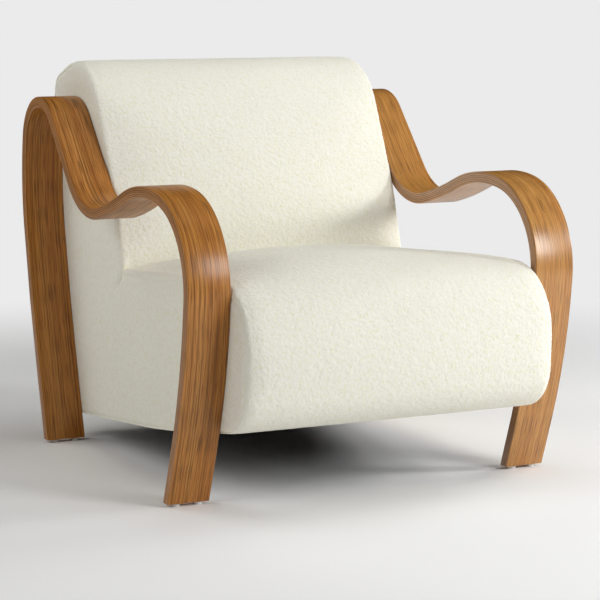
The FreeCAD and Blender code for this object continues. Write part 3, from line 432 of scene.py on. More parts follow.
class CHAIR_OT_make_ribbons(bpy.types.Operator):
    """Bend one laminated strip along its runs, cut its feet level and copy it for the other side"""
    bl_idname = "chair.make_ribbons"
    bl_label = "Make ribbons"

    def execute(self, context):
        sizes = ribbon_sizes()
        runs = ribbon_runs()
        first, last = runs[0], runs[-1]
        spare = heading_vector(first[1]) * sizes.thickness
        start_clean()
        bpy.ops.mesh.primitive_plane_add(size=1, location=place(first[0] - spare, STRIP_MIDDLE),
                                         rotation=(math.pi / 2 - first[1], 0, 0))
        ribbon = context.object
        ribbon.scale = (STRIP_WIDTH, sizes.thickness, 1)
        bpy.ops.object.transform_apply(location=True, rotation=True, scale=True)
        bpy.ops.object.mode_set(mode="EDIT")
        bpy.ops.mesh.select_all(action="SELECT")
        bpy.ops.mesh.bevel(affect="VERTICES", offset=sizes.edge_round, segments=EDGE_SEGMENTS, profile=0.5)
        bpy.ops.mesh.select_all(action="SELECT")
        extrude(spare)
        for start, angle, end, radius, straight in runs:
            if radius:
                centre = bend_centre(start, angle, end, radius)[0]
                bpy.ops.mesh.spin(steps=max(2, round(abs(end - angle) / sizes.bend_step)),
                                  angle=end - angle, center=place(centre, STRIP_MIDDLE), axis=(1, 0, 0))
            else:
                extrude(heading_vector(angle) * straight)
        extrude(heading_vector(last[1]) * sizes.thickness)
        bpy.ops.mesh.select_all(action="SELECT")
        bpy.ops.mesh.bisect(plane_co=(0, 0, FOOT_LEVEL), plane_no=(0, 0, 1), use_fill=True,
                            clear_inner=True)
        face_outwards()
        bpy.ops.object.shade_smooth_by_angle(angle=SMOOTH_ANGLE)
        ribbon.name = "ribbon_left"
        grain = ribbon.data.attributes.new("grain", "FLOAT_VECTOR", "POINT")
        for vertex, value in zip(ribbon.data.vertices, grain.data):
            along, over = strip_place(side_view(vertex.co), runs)
            value.vector = (along, vertex.co.x - STRIP_MIDDLE, over)
        other = twin(ribbon, "ribbon_right")
        bpy.ops.transform.translate(value=(-2 * STRIP_MIDDLE, 0, 0))
        bpy.ops.object.transform_apply(location=True, rotation=False, scale=False)
        # The ribbons get lit and shaded copies of one veneer: painted light makes the right one lighter and
        # paler, and painted shade makes the left one more saturated.
        left_wood = laminated_wood("left ribbon wood", *VENEERS_LIT_AND_SHADED["left"])
        right_wood = laminated_wood("right ribbon wood", *VENEERS_LIT_AND_SHADED["right"])
        settle(ribbon, "laminated_wood", left_wood, "arm_left")
        settle(other, "laminated_wood", right_wood, "arm_right")
        return {"FINISHED"}


def extrude(way):
    """Push the selected section of the strip on, by a side view move."""
    move = place(way, 0) - place(Vector((0, 0)), 0)
    bpy.ops.mesh.extrude_region_move(TRANSFORM_OT_translate={"value": move})


# The padded body's outline

def body_corners():
    """The outline's corners before their rounding."""
    return [Vector(getattr(body_sizes(), corner)) for corner in CORNERS]


def body_radii():
    """Rounding of each corner; the one between seat and back has none of its own."""
    return [getattr(body_sizes(), corner + "_radius", 0) for corner in CORNERS]


def moved_corners(corners, offsets):
    """Corners after each side has moved outwards by its own offset."""
    count = len(corners)
    lines = []
    for index in range(count):
        direction = (corners[(index + 1) % count] - corners[index]).normalized()
        lines.append((corners[index] + left_of(direction) * offsets[index], direction))
    moved = []
    for index in range(count):
        (spot_a, way_a), (spot_b, way_b) = lines[index - 1], lines[index]
        moved.append(spot_a + way_a * (cross(spot_b - spot_a, way_b) / cross(way_a, way_b)))
    return moved


def side_offsets(inset, crown_share):
    """Outward move of each side; an inset as large as the side rounding reaches the side seam."""
    s = body_sizes()
    share = min(1, inset / s.edge_round)
    further = max(0, inset - s.edge_round)
    return [getattr(s, crown + "_crown") * crown_share - getattr(s, seam + "_seam_inset") * share - further
            for crown, seam in zip(CROWNS, INSETS)]


def outline_corners(inset, crown_share):
    return moved_corners(body_corners(), side_offsets(inset, crown_share))


def arc_points(before, corner, after, radius, count):
    """Points of the rounding at a corner, its two ends among them."""
    arriving = (corner - before).normalized()
    leaving = (after - corner).normalized()
    turn = math.atan2(cross(arriving, leaving), arriving.dot(leaving))
    side = math.copysign(1, turn)
    start = corner - arriving * (radius * math.tan(abs(turn) / 2))
    centre = start + left_of(arriving) * (radius * side)
    angle = math.atan2(arriving.y, arriving.x)
    return [centre - left_of(heading_vector(angle + turn * step / count)) * (radius * side)
            for step in range(count + 1)]


def even_points(start, end, count):
    """Points between two ends, without the ends."""
    return [start.lerp(end, step / count) for step in range(1, count)]


def spaced_points(start, end, cell):
    """Points between two ends, about a cell apart."""
    return even_points(start, end, max(1, round((end - start).length / cell)))


def rounded_corners(first, last, start, end, inset, crown_share):
    """Corners of a run of the outline, each as (point before, corner, point after, rounding).

    start and end are the points before the first and after the last of them."""
    offsets = side_offsets(inset, crown_share)
    corners = moved_corners(body_corners(), offsets)
    radii = body_radii()
    chosen = [index % len(corners) for index in range(first, last + 1)]
    path = [start] + [corners[index] for index in chosen] + [end]
    rows = []
    for number, index in enumerate(chosen):
        grown = (offsets[index - 1] + offsets[index]) / 2
        radius = max(radii[index] + grown, body_sizes().edge_round) if radii[index] else crease_radius(inset)
        rows.append((*path[number:number + 3], radius))
    return rows


def outer_run(first, last, start, end, inset, crown_share, counts):
    """Points of the padded outline from one corner to another.

    counts gives the steps of each straight and rounding, so that every section has as many."""
    points = [start]
    for number, (*corner, radius) in enumerate(rounded_corners(first, last, start, end, inset, crown_share)):
        arc = arc_points(*corner, radius, counts[2 * number + 1])
        points += even_points(points[-1], arc[0], counts[2 * number]) + arc
    return points + even_points(points[-1], end, counts[-1]) + [end]


def crease_radius(inset):
    return max(body_sizes().crease_round - inset / 2, body_sizes().edge_round / 2)


def crease_way():
    """Direction from the corner between seat and back into the body."""
    corners = body_corners()
    inner = moved_corners(corners, [-1] * len(corners))[SEAT_REAR]
    return (inner - corners[SEAT_REAR]).normalized()


def crease(hand, inset, crown_share):
    """End of a pad between seat and back: hand is 1 on the back's side and -1 on the seat's."""
    s = body_sizes()
    way = crease_way()
    down = way * s.pad_depth + left_of(way) * (hand * s.seam_gap)
    return outline_corners(inset, crown_share)[SEAT_REAR] + down


def on_side(index, inset, crown_share, fore=None, up=None):
    """Point of a side of the outline, given how far forwards or up it lies."""
    corners = outline_corners(inset, crown_share)
    start, end = corners[index], corners[(index + 1) % len(corners)]
    share = (fore - start.x) / (end.x - start.x) if fore is not None else (up - start.y) / (end.y - start.y)
    return start.lerp(end, share)


def across_stations():
    """Place across, inset and crown share of every section, from the left side to the right."""
    s = body_sizes()
    flat = HALF_BODY - s.edge_round
    stations = [(HALF_BODY - s.seam_depth, s.edge_round + s.seam_gap, 0),
                (HALF_BODY - s.seam_depth / 4, s.edge_round - s.seam_gap, 0)]
    steps = max(FINE_STATIONS, round(s.edge_round * math.pi / 2 / s.cell) + 1)
    for step in range(1, steps + 1):
        turn = math.pi / 2 * step / steps
        stations.append((flat + s.edge_round * math.cos(turn), s.edge_round * (1 - math.sin(turn)), 0))
    half_count = round(flat / s.cell)
    for step in range(1, half_count + 1):
        share = 1 - step / half_count
        stations.append((flat * share, 0, 1 - share ** 2))
    left = [(-across, inset, crown) for across, inset, crown in stations]
    return left + [station for station in reversed(stations) if station[0] > 0]


def stretch_lengths(first, last, start, end):
    """Lengths of the straights and roundings of a run, in turn."""
    lengths = []
    reached = start
    for before, corner, after, radius in rounded_corners(first, last, start, end, 0, 0):
        arc = arc_points(before, corner, after, radius, 1)
        lengths += [(arc[0] - reached).length, radius * (corner - before).angle(after - corner)]
        reached = arc[-1]
    return lengths + [(end - reached).length]


def padded_ring(first, last, start_of, end_of):
    """A function that gives the closed outline of one pad at a section.

    start_of and end_of give the run's two ends at an inset and a crown share."""
    s = body_sizes()
    run = (first, last, start_of(0, 0), end_of(0, 0))
    counts = [max(1, round(stretch / s.cell)) for stretch in stretch_lengths(*run)]
    base = outer_run(*run, 0, 0, counts)
    anchors = list(range(0, len(base) - 1, INNER_STEP)) + [len(base) - 1]
    inwards = []
    for number in reversed(range(len(anchors))):
        before = base[anchors[max(0, number - 1)]]
        after = base[anchors[min(len(anchors) - 1, number + 1)]]
        inwards.append(base[anchors[number]] - left_of((after - before).normalized()) * s.pad_depth)

    def ring(inset, crown_share):
        outer = outer_run(first, last, start_of(inset, crown_share), end_of(inset, crown_share),
                          inset, crown_share, counts)
        return outer + inwards, anchors
    return ring


def loft(name, ring, swell=1.0):
    """Closed padded piece through a ring at every section across the chair."""
    vertices = []
    stations = across_stations()
    for across, inset, crown_share in stations:
        points, anchors = ring(inset, crown_share * swell)
        vertices += [place(point, across) for point in points]
    count = len(points)
    outer_count = anchors[-1] + 1
    faces = []
    for row in range(len(stations) - 1):
        for column in range(count):
            after = (column + 1) % count
            faces.append((row * count + column, row * count + after,
                          (row + 1) * count + after, (row + 1) * count + column))
    last_row = len(stations) - 1
    for number, (low, high) in enumerate(zip(anchors, anchors[1:])):
        cap = list(range(low, high + 1)) + [count - 2 - number, count - 1 - number]
        faces.append(tuple(reversed(cap)))
        faces.append(tuple(last_row * count + index for index in cap))
    piece = mesh_piece(name, vertices, faces)
    nap = piece.vertex_groups.new(name="nap")
    nap.add([row * count + column for row in range(1, last_row) for column in range(outer_count)],
            1, "REPLACE")
    s = body_sizes()
    margin = s.held_rows
    lowest = s.front_bottom[1] + s.front_bottom_radius / 2
    free = {row * count + column for row in range(margin, last_row + 1 - margin)
            for column in range(margin, outer_count - margin)
            if vertices[row * count + column].z > lowest}
    held = piece.vertex_groups.new(name="held")
    held.add([index for index in range(len(vertices)) if index not in free], 1, "REPLACE")
    return piece


def blown_up(name, ring):
    """Pad whose slack cover is blown up by a cloth simulation, held at its seams and underneath."""
    s = body_sizes()
    full = loft(name + "_full", ring)
    goal = [vertex.co.copy() for vertex in full.data.vertices]
    bpy.data.objects.remove(full)
    piece = loft(name, ring, s.slack_share)
    slack = [vertex.co.copy() for vertex in piece.data.vertices]
    cloth = piece.modifiers.new("cloth", "CLOTH")
    for setting, value in CLOTH.items():
        setattr(cloth.settings, setting, value)
    cloth.settings.uniform_pressure_force = s.pressure
    cloth.settings.effector_weights.gravity = 0
    cloth.collision_settings.use_collision = False
    cloth.collision_settings.use_self_collision = False
    cloth.point_cache.frame_start, cloth.point_cache.frame_end = 1, s.cloth_frames
    scene = bpy.context.scene
    for number in range(1, s.cloth_frames + 1):
        scene.frame_set(number)
    apply_modifiers(piece)
    scene.frame_set(1)
    ease = piece.modifiers.new("ease", "SMOOTH")
    ease.iterations = s.ease_steps
    ease.vertex_group = "held"
    ease.invert_vertex_group = True
    apply_modifiers(piece)
    moves = [vertex.co - start for vertex, start in zip(piece.data.vertices, slack)]
    wanted = sum((end - start).length for start, end in zip(slack, goal))
    share = wanted / max(sum(move.length for move in moves), 1e-9)
    for vertex, start, move in zip(piece.data.vertices, slack, moves):
        move = move * share
        if move.length > s.most_swell:
            move = move.normalized() * s.most_swell
        vertex.co = start + move
    return piece


def refine(piece, levels, kind="CATMULL_CLARK", nap=1.0):
    """Smooth the cover and raise its loops of yarn."""
    s = body_sizes()
    smooth = piece.modifiers.new("smooth", "SUBSURF")
    smooth.levels = smooth.render_levels = levels
    smooth.subdivision_type = kind
    apply_modifiers(piece)
    for name, (scale, share) in RELIEF.items():
        texture = bpy.data.textures.get(name) or bpy.data.textures.new(name, "CLOUDS")
        texture.noise_scale = s.nub_size * scale
        texture.noise_depth = 1
        raised = piece.modifiers.new(name, "DISPLACE")
        raised.texture = texture
        raised.texture_coords = "LOCAL"
        raised.vertex_group = "nap"
        raised.strength = s.nub_height * share * nap
        raised.mid_level = 0.5
    apply_modifiers(piece)
    shade_smooth(piece)


class CHAIR_OT_make_pads(bpy.types.Operator):
    """Make the seat and the back as padded pieces that swell against their covers"""
    bl_idname = "chair.make_pads"
    bl_label = "Make seat and back"

    def execute(self, context):
        s = body_sizes()
        seat_end = partial(on_side, BOTTOM_SIDE, fore=s.dust_rear_fore + s.pad_depth + 2 * s.seam_gap)
        back_end = partial(on_side, REAR_SIDE, up=s.rear_seam_up)
        seat = blown_up("seat", padded_ring(SEAT_REAR, BELLY_BEND, partial(crease, -1), seat_end))
        back = blown_up("back", padded_ring(REAR_TOP, SEAT_REAR, back_end, partial(crease, 1)))
        for piece in (seat, back):
            refine(piece, 2)
        settle(seat, "boucle", looped_cloth(), "seat_cover", "seat_foam")
        settle(back, "boucle", looped_cloth(), "back_cover", "back_foam")
        return {"FINISHED"}


class CHAIR_OT_make_outside_back(bpy.types.Operator):
    """Make the padded cover over the rear of the back, from its seam down under the frame"""
    bl_idname = "chair.make_outside_back"
    bl_label = "Make outside back"

    def execute(self, context):
        s = body_sizes()
        low_end = partial(on_side, BOTTOM_SIDE, fore=s.dust_rear_fore + s.pad_depth)
        high_end = partial(on_side, REAR_SIDE, up=s.rear_seam_up - s.seam_gap)
        piece = loft("outside_back", padded_ring(REAR_BOTTOM, REAR_BOTTOM, low_end, high_end))
        refine(piece, 2)
        settle(piece, "boucle", looped_cloth(), "outside_back_cover", "rear_wadding")
        return {"FINISHED"}


class CHAIR_OT_make_side_panels(bpy.types.Operator):
    """Make the flat padded panel of one side, drawn in along its seam, and mirror it"""
    bl_idname = "chair.make_side_panels"
    bl_label = "Make side panels"

    def execute(self, context):
        left = side_panel("side_panel_left")
        right = twin(left, "side_panel_right")
        bpy.ops.object.mode_set(mode="EDIT")
        bpy.ops.mesh.select_all(action="SELECT")
        bpy.ops.transform.mirror(constraint_axis=(True, False, False), center_override=(0, 0, 0))
        face_outwards()
        for piece in (left, right):
            nodes = (piece.name.replace("panel", "cover"), piece.name.replace("panel", "wadding"))
            settle(piece, "boucle", looped_cloth(), *nodes)
        return {"FINISHED"}


def seam_outline(inset, cell):
    """Closed outline of a side panel, a chosen inset inside the body's outline."""
    corners = outline_corners(inset, 0)
    radii = body_radii()
    points = []
    count = len(corners)
    for index in range(count):
        radius = max(radii[index] - inset, cell) if radii[index] else cell * 2
        turn = (corners[index] - corners[index - 1]).angle(corners[(index + 1) % count] - corners[index])
        steps = max(2, round(radius * turn / cell))
        arc = arc_points(corners[index - 1], corners[index], corners[(index + 1) % count], radius, steps)
        if points:
            points += spaced_points(points[-1], arc[0], cell)
        points += arc
    return points + spaced_points(points[-1], points[0], cell)


def rows_inside(outline, cell):
    """Points in staggered rows inside a closed outline."""
    low, high = min(point.y for point in outline), max(point.y for point in outline)
    rise = cell * math.sqrt(3) / 2
    points = []
    for row in range(1, math.ceil((high - low) / rise)):
        up = low + row * rise
        crossings = sorted(start.x + (end.x - start.x) * (up - start.y) / (end.y - start.y)
                           for start, end in zip(outline, outline[1:] + outline[:1])
                           if (start.y > up) != (end.y > up))
        for left, right in zip(crossings[::2], crossings[1::2]):
            first = math.ceil(left / cell - row % 2 / 2)
            last = math.floor(right / cell - row % 2 / 2)
            points += [Vector(((column + row % 2 / 2) * cell, up)) for column in range(first, last + 1)]
    return points


def fold_depth(reach):
    """Depth of the fold at a place, given from the seam's corner between seat and back."""
    s = body_sizes()
    middle = crease_way()
    way = heading_vector(math.atan2(middle.y, middle.x) + s.fold_lean)
    along = reach.dot(way) / s.fold_length
    if not 0 <= along < 1:
        return 0
    width = FOLD_WIDTH * s.fold_length
    return s.fold_depth * (1 - along) ** FOLD_FADE * math.exp(-(cross(reach, way) / width) ** 2)


def side_panel(name):
    """Flat panel of the left side with a wall along its rim, closed behind."""
    s = body_sizes()
    cell = s.cell / 2
    rings = [seam_outline(s.edge_round + s.seam_gap + cell * step, cell) for step in RING_CELLS]
    rim, second, third, room = rings
    points = rim + second + third + rows_inside(room, cell)
    edges = [(index, (index + 1) % len(rim)) for index in range(len(rim))]
    flat = delaunay_2d_cdt(points, edges, [], 1, 1e-6)
    spots, triangles = flat[0], flat[2]
    levels = []
    for origin in flat[3]:
        first = min(origin) if origin else len(points)
        levels.append((first >= len(rim)) + (first >= len(rim) + len(second)))
    corner = outline_corners(s.edge_round, 0)[SEAT_REAR]
    vertices = [place(spot, s.seam_depth * RING_DEPTHS[level] + fold_depth(spot - corner) - HALF_BODY)
                for spot, level in zip(spots, levels)]
    top_count = len(vertices)
    ring = boundary_ring(triangles)
    vertices += [place(spots[index], 2 * s.seam_depth - HALF_BODY) for index in ring]
    faces = [tuple(face) for face in triangles]
    for number in range(len(ring)):
        after = (number + 1) % len(ring)
        faces.append((ring[number], ring[after], top_count + after, top_count + number))
    piece = mesh_piece(name, vertices, faces)
    nap = piece.vertex_groups.new(name="nap")
    nap.add([index for index, level in enumerate(levels) if level], 1, "REPLACE")
    refine(piece, 1, "SIMPLE", 0.3)
    make_active(piece)
    bpy.ops.object.mode_set(mode="EDIT")
    bpy.ops.mesh.select_mode(type="EDGE")
    bpy.ops.mesh.select_all(action="DESELECT")
    bpy.ops.mesh.select_non_manifold()
    bpy.ops.mesh.edge_face_add()
    bpy.ops.mesh.select_mode(type="VERT")
    face_outwards()
    return piece


def boundary_ring(faces):
    """Indices round the open rim of a patch of faces, in order."""
    edges = {edge for face in faces for edge in zip(face, list(face[1:]) + [face[0]])}
    following = {start: end for start, end in edges if (end, start) not in edges}
    first = min(following)
    ring = [first]
    while following[ring[-1]] != first:
        ring.append(following[ring[-1]])
    return ring


class CHAIR_OT_make_dust_cover(bpy.types.Operator):
    """Stretch the thin cloth under the seat"""
    bl_idname = "chair.make_dust_cover"
    bl_label = "Make dust cover"

    def execute(self, context):
        low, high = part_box("dust_cover")
        s = body_sizes()
        low.y += s.dust_hem
        half = HALF_BODY - s.edge_round
        start_clean()
        bpy.ops.mesh.primitive_grid_add(x_subdivisions=DUST_CELLS[0], y_subdivisions=DUST_CELLS[1], size=1,
                                        location=(0, (low.y + high.y) / 2, low.z))
        piece = context.object
        piece.name = "dust_cloth"
        piece.scale = (2 * half, high.y - low.y, 1)
        bpy.ops.object.transform_apply(location=True, rotation=True, scale=True)
        for vertex in piece.data.vertices:
            fore = side_view(vertex.co).x
            side = BELLY_SIDE if fore > s.belly[0] else BOTTOM_SIDE
            share = 1 - (vertex.co.x / half) ** 2
            rim = min(vertex.co.y - low.y, high.y - vertex.co.y, half - abs(vertex.co.x))
            tucked = s.dust_gap * max(0, 1 - rim / s.dust_hem)
            vertex.co.z = on_side(side, 0, share, fore=fore).y - s.dust_gap + tucked
        walls = piece.modifiers.new("thickness", "SOLIDIFY")
        walls.thickness = s.seam_gap
        walls.offset = -1
        apply_modifiers(piece)
        shade_smooth(piece)
        front, rear = side_view(low).x, side_view(high).x
        bend = outline_corners(0, 0)[BELLY_BEND]
        run = (on_side(BELLY_SIDE, 0, 0, fore=front) - bend).length
        run += (on_side(BOTTOM_SIDE, 0, 0, fore=rear) - bend).length
        cloth = woven("dust cloth", (0.012, 0.012, 0.013), (0.030, 0.030, 0.032), 180)
        settle(piece, "dust_cloth", cloth, "dust_cover")
        return {"FINISHED"}


# Materials

# The veneer's noises over the strip's own coordinates (along, across, through): stretch, detail,
# roughness, and how much of the material's shift moves them each way.
VENEER_NOISES = {
    "broad": ((0.7, 30, 3), 2, 0.5, (1, 1, 0)),
    "streak": ((1.4, 170, 3), 3, 0.6, (1, 2, 0)),
    "late": ((1.2, 290, 3), 1, 0.4, (2, 1, 0)),
    "fibre": ((14, 900, 3), 2, 0.6, (1, 1, 0)),
    "pore": ((18, 820, 3), 0, 0.5, (2, 1, 0)),
    "cut": ((30, 40, 700), 3, 0.6, (1, 0, 0)),
    "ply": ((4, 3, 330), 1, 0.5, (1, 0, 1)),
}
# Where each value of the veneer starts and ends its change.
VENEER_RANGES = {
    "tone": (0.28, 0.72), "late": (0.54, 0.62), "fibre": (0.3, 0.75), "pore": (0.56, 0.66),
    "ply": (0.35, 0.65), "cut": (0.45, 0.75), "line": (0.26, 0.06),
}
# Strength of the fibre, the pores, the glue lines and the saw's marks in the colours.
FIBRE_SHARE, PORE_SHARE, LINE_SHARE, CUT_SHARE = 0.35, 0.55, 0.9, 0.45
# Darkening of the oak in its late bands and fibres, and the darkest and lightest ply.
LATE_SHADE, FIBRE_SHADE, PLY_SHADES = 0.28, 0.55, (0.8, 1.15)
# Where the face ends and the plies begin, as shares of the strip's edge rounding.
EDGE_BLEND = (0.45, 0.85)
# Weights of the streaks and the broad bands in the oak's tone.
STREAK_WEIGHT, BROAD_WEIGHT = 0.6, 0.4
# Roughness of the oak, what its fibre and pores add to it, and the fibre's share of the relief.
OAK_ROUGH, FIBRE_ROUGH, PORE_ROUGH, FIBRE_HEIGHT = 0.42, 0.14, 0.2, 0.25
# Where the yarn changes from its deep colour, painted shade in the hollows between the loops, to its light
# crest colour, where its cloudy patches begin and end, their strength and shade, and the shares of curl and
# fuzz in its relief.
YARN_TONE, CLOUD_RANGE = (0.32, 0.54), (0.35, 0.7)
CLOUD_SHARE, CLOUD_SHADE, CURL_HEIGHT, FUZZ_HEIGHT = 0.12, 0.9, 0.75, 0.25
# Depth in metres and strength of each relief.
RELIEFS = {
    "oak": (0.00025, 0.6), "yarn": (0.0015, 0.75), "weave": (0.0004, 0.6),
    "board": (0.0002, 0.5), "felt": (0.001, 0.8),
}
# Noises over an object's coordinates: stretch, detail, roughness. The yarn's are in loops.
YARN_NOISES = {
    "loops": ((1, 1, 0.6), 2, 0.5),
    "curl": ((2.2, 2.2, 1.3), 2, 0.6),
    "fuzz": ((7, 7, 7), 2, 0.7),
}
NOISES = {
    "cloth cloud": ((7, 7, 7), 2, 0.5),
    "board fibre": ((240, 14, 240), 4, 0.6),
    "board bands": ((30, 2, 30), 2, 0.5),
    "polish": ((420, 420, 420), 3, 0.6),
    "scuff": ((500, 500, 120), 3, 0.6),
    "pressed fibre": ((700, 700, 700), 4, 0.7),
    "floor cloud": ((1.5, 1.5, 1.5), 2, 0.5),
}
LACQUER = {"Specular IOR Level": 0.1, "Coat Roughness": 0.29, "Coat IOR": 1.6}
LOOPED_YARN = {"Roughness": 0.95, "Specular IOR Level": 0.08, "Sheen Weight": 0.05, "Sheen Roughness": 0.6}
# How much rougher metal is where it is scratched.
METAL_SCRATCH = 0.12
FLOOR_FINISH = {"Roughness": 0.7, "Specular IOR Level": 0.2}
FLOOR_DARK, FLOOR_LIGHT = (0.945, 0.945, 0.945), (0.965, 0.965, 0.965)
WHITE = (1.0, 1.0, 1.0)


class Paint:
    """The nodes of a material or of the world, with short ways to add and join them"""

    def __init__(self, owner, base="Principled BSDF"):
        owner.use_nodes = True
        self.owner = owner
        self.nodes = owner.node_tree.nodes
        self.base = self.nodes[base]
        self.spot = None

    def join(self, socket, value):
        """Feed a socket from another node's output, a colour or a number."""
        if isinstance(value, bpy.types.NodeSocket):
            self.owner.node_tree.links.new(value, socket)
        elif socket.type == "RGBA":
            socket.default_value = (*value, 1)
        else:
            socket.default_value = value

    def feed(self, inputs):
        """Feed several inputs of the base."""
        for name, value in inputs.items():
            self.join(self.base.inputs[name], value)

    def node(self, kind, inputs, **settings):
        """New node of a kind with its settings, and what goes into each of its inputs."""
        made = self.nodes.new("ShaderNode" + kind)
        for name, value in settings.items():
            setattr(made, name, value)
        for name, value in inputs.items():
            self.join(made.inputs[name], value)
        return made

    def calc(self, operation, *values):
        """Outcome of one sum or other operation on values."""
        return self.node("Math", dict(enumerate(values)), operation=operation).outputs[0]

    def weigh(self, *pairs):
        """Sum of values, each times its own weight."""
        parts = [self.calc("MULTIPLY", value, weight) for value, weight in pairs]
        total = parts[0]
        for part in parts[1:]:
            total = self.calc("ADD", total, part)
        return total

    def ramp(self, value, low, high, new_low=0.0, new_high=1.0):
        """A value that runs from low to high, turned smoothly into one from new_low to new_high."""
        inputs = {"Value": value, "From Min": low, "From Max": high, "To Min": new_low, "To Max": new_high}
        return self.node("MapRange", inputs, interpolation_type="SMOOTHSTEP").outputs["Result"]

    def mix(self, factor, first, second):
        """Colour between two. The node's inputs 6 and 7 are its colours and output 2 their mix."""
        return self.node("Mix", {0: factor, 6: first, 7: second}, data_type="RGBA").outputs[2]

    def noise(self, stretch, detail, roughness, shift=(0, 0, 0)):
        """Noise over the paint's coordinates, stretched by a factor along each axis."""
        mapped = self.node("Mapping", {"Vector": self.spot, "Scale": stretch, "Location": shift})
        inputs = {"Vector": mapped.outputs[0], "Scale": 1.0, "Detail": detail, "Roughness": roughness}
        return self.node("TexNoise", inputs).outputs["Fac"]

    def bump(self, height, distance, strength):
        raised = self.node("Bump", {"Height": height, "Distance": distance, "Strength": strength})
        self.join(self.base.inputs["Normal"], raised.outputs["Normal"])

    def show_to_camera(self, shown, output, share=None):
        """Put another shader in the base's place, for the camera only."""
        seen = self.node("LightPath", {}).outputs["Is Camera Ray"]
        factor = seen if share is None else self.calc("MULTIPLY", share, seen)
        mixed = self.node("MixShader", {0: factor, 1: self.base.outputs[0], 2: shown.outputs[0]})
        self.join(self.nodes[output].inputs[0], mixed.outputs[0])


def object_paint(name):
    """Paint over the coordinates of the object itself."""
    paint = Paint(bpy.data.materials.new(name))
    paint.spot = paint.node("TexCoord", {}).outputs["Object"]
    return paint


def scaled(parts, *scales):
    """A colour or vector times one scale, or times one for each of its parts."""
    return tuple(part * scales[number % len(scales)] for number, part in enumerate(parts))


def laminated_wood(name, shift, light, figure, gloss):
    """Oak face veneer whose grain follows the bends, with the plies on the strip's edges.

    shift picks another stretch of veneer, light scales its colours, which paints light on the right ribbon
    and shade on the left, figure is the strength of its dark bands and gloss the weight of its lacquer."""
    colours, sizes = finishes(), ribbon_sizes()
    # Painted light and shade: the face veneer's colours are scaled for each ribbon, lighter for the lit right
    # one and more saturated for the shaded left one.
    oak, oak_light = scaled(colours.oak, *light), scaled(colours.oak_light, *light)
    paint = Paint(bpy.data.materials.new(name))
    paint.spot = paint.node("Attribute", {}, attribute_name="grain").outputs["Vector"]
    across, over = paint.node("SeparateXYZ", {0: paint.spot}).outputs[1:]
    noises = {key: paint.noise(stretch, detail, roughness, scaled(ways, shift))
              for key, (stretch, detail, roughness, ways) in VENEER_NOISES.items()}
    fibre, ranges = noises["fibre"], VENEER_RANGES
    pores = paint.ramp(noises["pore"], *ranges["pore"])
    tone = paint.weigh((noises["streak"], STREAK_WEIGHT), (noises["broad"], BROAD_WEIGHT))
    face = paint.mix(paint.ramp(tone, *ranges["tone"]), oak, oak_light)
    late = paint.ramp(noises["late"], *ranges["late"], 0.0, figure)
    face = paint.mix(late, face, scaled(oak, LATE_SHADE))
    face = paint.mix(paint.ramp(fibre, *ranges["fibre"], 0.0, FIBRE_SHARE), face, scaled(oak, FIBRE_SHADE))
    face = paint.mix(paint.calc("MULTIPLY", pores, PORE_SHARE), face, colours.oak_pore)
    step = sizes.thickness / sizes.ply_count
    phase = paint.calc("FRACT", paint.calc("ADD", paint.calc("DIVIDE", over, step), 0.5 + sizes.ply_count))
    line = paint.ramp(paint.calc("ABSOLUTE", paint.calc("SUBTRACT", phase, 0.5)), *ranges["line"])
    dark_ply, light_ply = [scaled(colours.ply, shade) for shade in PLY_SHADES]
    plies = paint.mix(paint.ramp(noises["ply"], *ranges["ply"]), dark_ply, light_ply)
    plies = paint.mix(paint.calc("MULTIPLY", line, LINE_SHARE), plies, colours.ply_line)
    plies = paint.mix(paint.ramp(noises["cut"], *ranges["cut"], 0.0, CUT_SHARE), plies, colours.ply_line)
    flat = STRIP_WIDTH / 2 - sizes.edge_round
    at_edge = paint.ramp(paint.calc("ABSOLUTE", across),
                         *[flat + sizes.edge_round * share for share in EDGE_BLEND])
    rough = paint.calc("ADD", paint.weigh((fibre, FIBRE_ROUGH), (pores, PORE_ROUGH)), OAK_ROUGH)
    paint.feed({"Base Color": paint.mix(at_edge, face, plies), "Roughness": rough,
                "Coat Weight": gloss, **LACQUER})
    sunk = paint.calc("ADD", pores, paint.calc("MULTIPLY", line, at_edge))
    raised = paint.calc("MULTIPLY", fibre, FIBRE_HEIGHT)
    paint.bump(paint.calc("SUBTRACT", raised, sunk), *RELIEFS["oak"])
    return paint.owner


def looped_cloth():
    """Ivory cloth of looped yarn, shared by all covers."""
    name = "looped cloth"
    if name in bpy.data.materials:
        return bpy.data.materials[name]
    colours = finishes()
    paint = object_paint(name)
    loop_count = 1 / body_sizes().nub_size
    loops, curl, fuzz = [paint.noise(scaled(stretch, loop_count), detail, roughness)
                         for stretch, detail, roughness in YARN_NOISES.values()]
    cloud = paint.noise(*NOISES["cloth cloud"])
    # The hollows between the loops are painted darker and yellower than the crests, as painted shade.
    tone = paint.ramp(paint.weigh((loops, 0.5), (curl, 0.5)), *YARN_TONE)
    cloth = paint.mix(tone, colours.yarn_hollow_shade, colours.yarn)
    patches = paint.ramp(cloud, *CLOUD_RANGE, 0.0, CLOUD_SHARE)
    cloth = paint.mix(patches, cloth, scaled(colours.yarn, CLOUD_SHADE))
    paint.feed({"Base Color": cloth, **LOOPED_YARN})
    paint.bump(paint.weigh((curl, CURL_HEIGHT), (fuzz, FUZZ_HEIGHT)), *RELIEFS["yarn"])
    return paint.owner


def woven(name, first, second, count):
    """Plain woven cloth with a count of threads to the metre."""
    paint = object_paint(name)
    inputs = {"Vector": paint.spot, "Scale": count, "Distortion": 0.4}
    warp, weft = [paint.node("TexWave", inputs, bands_direction=way).outputs["Fac"] for way in "XY"]
    level = paint.calc("MAXIMUM", warp, weft)
    paint.feed({"Base Color": paint.mix(level, first, second), "Roughness": 0.9})
    paint.bump(level, *RELIEFS["weave"])
    return paint.owner


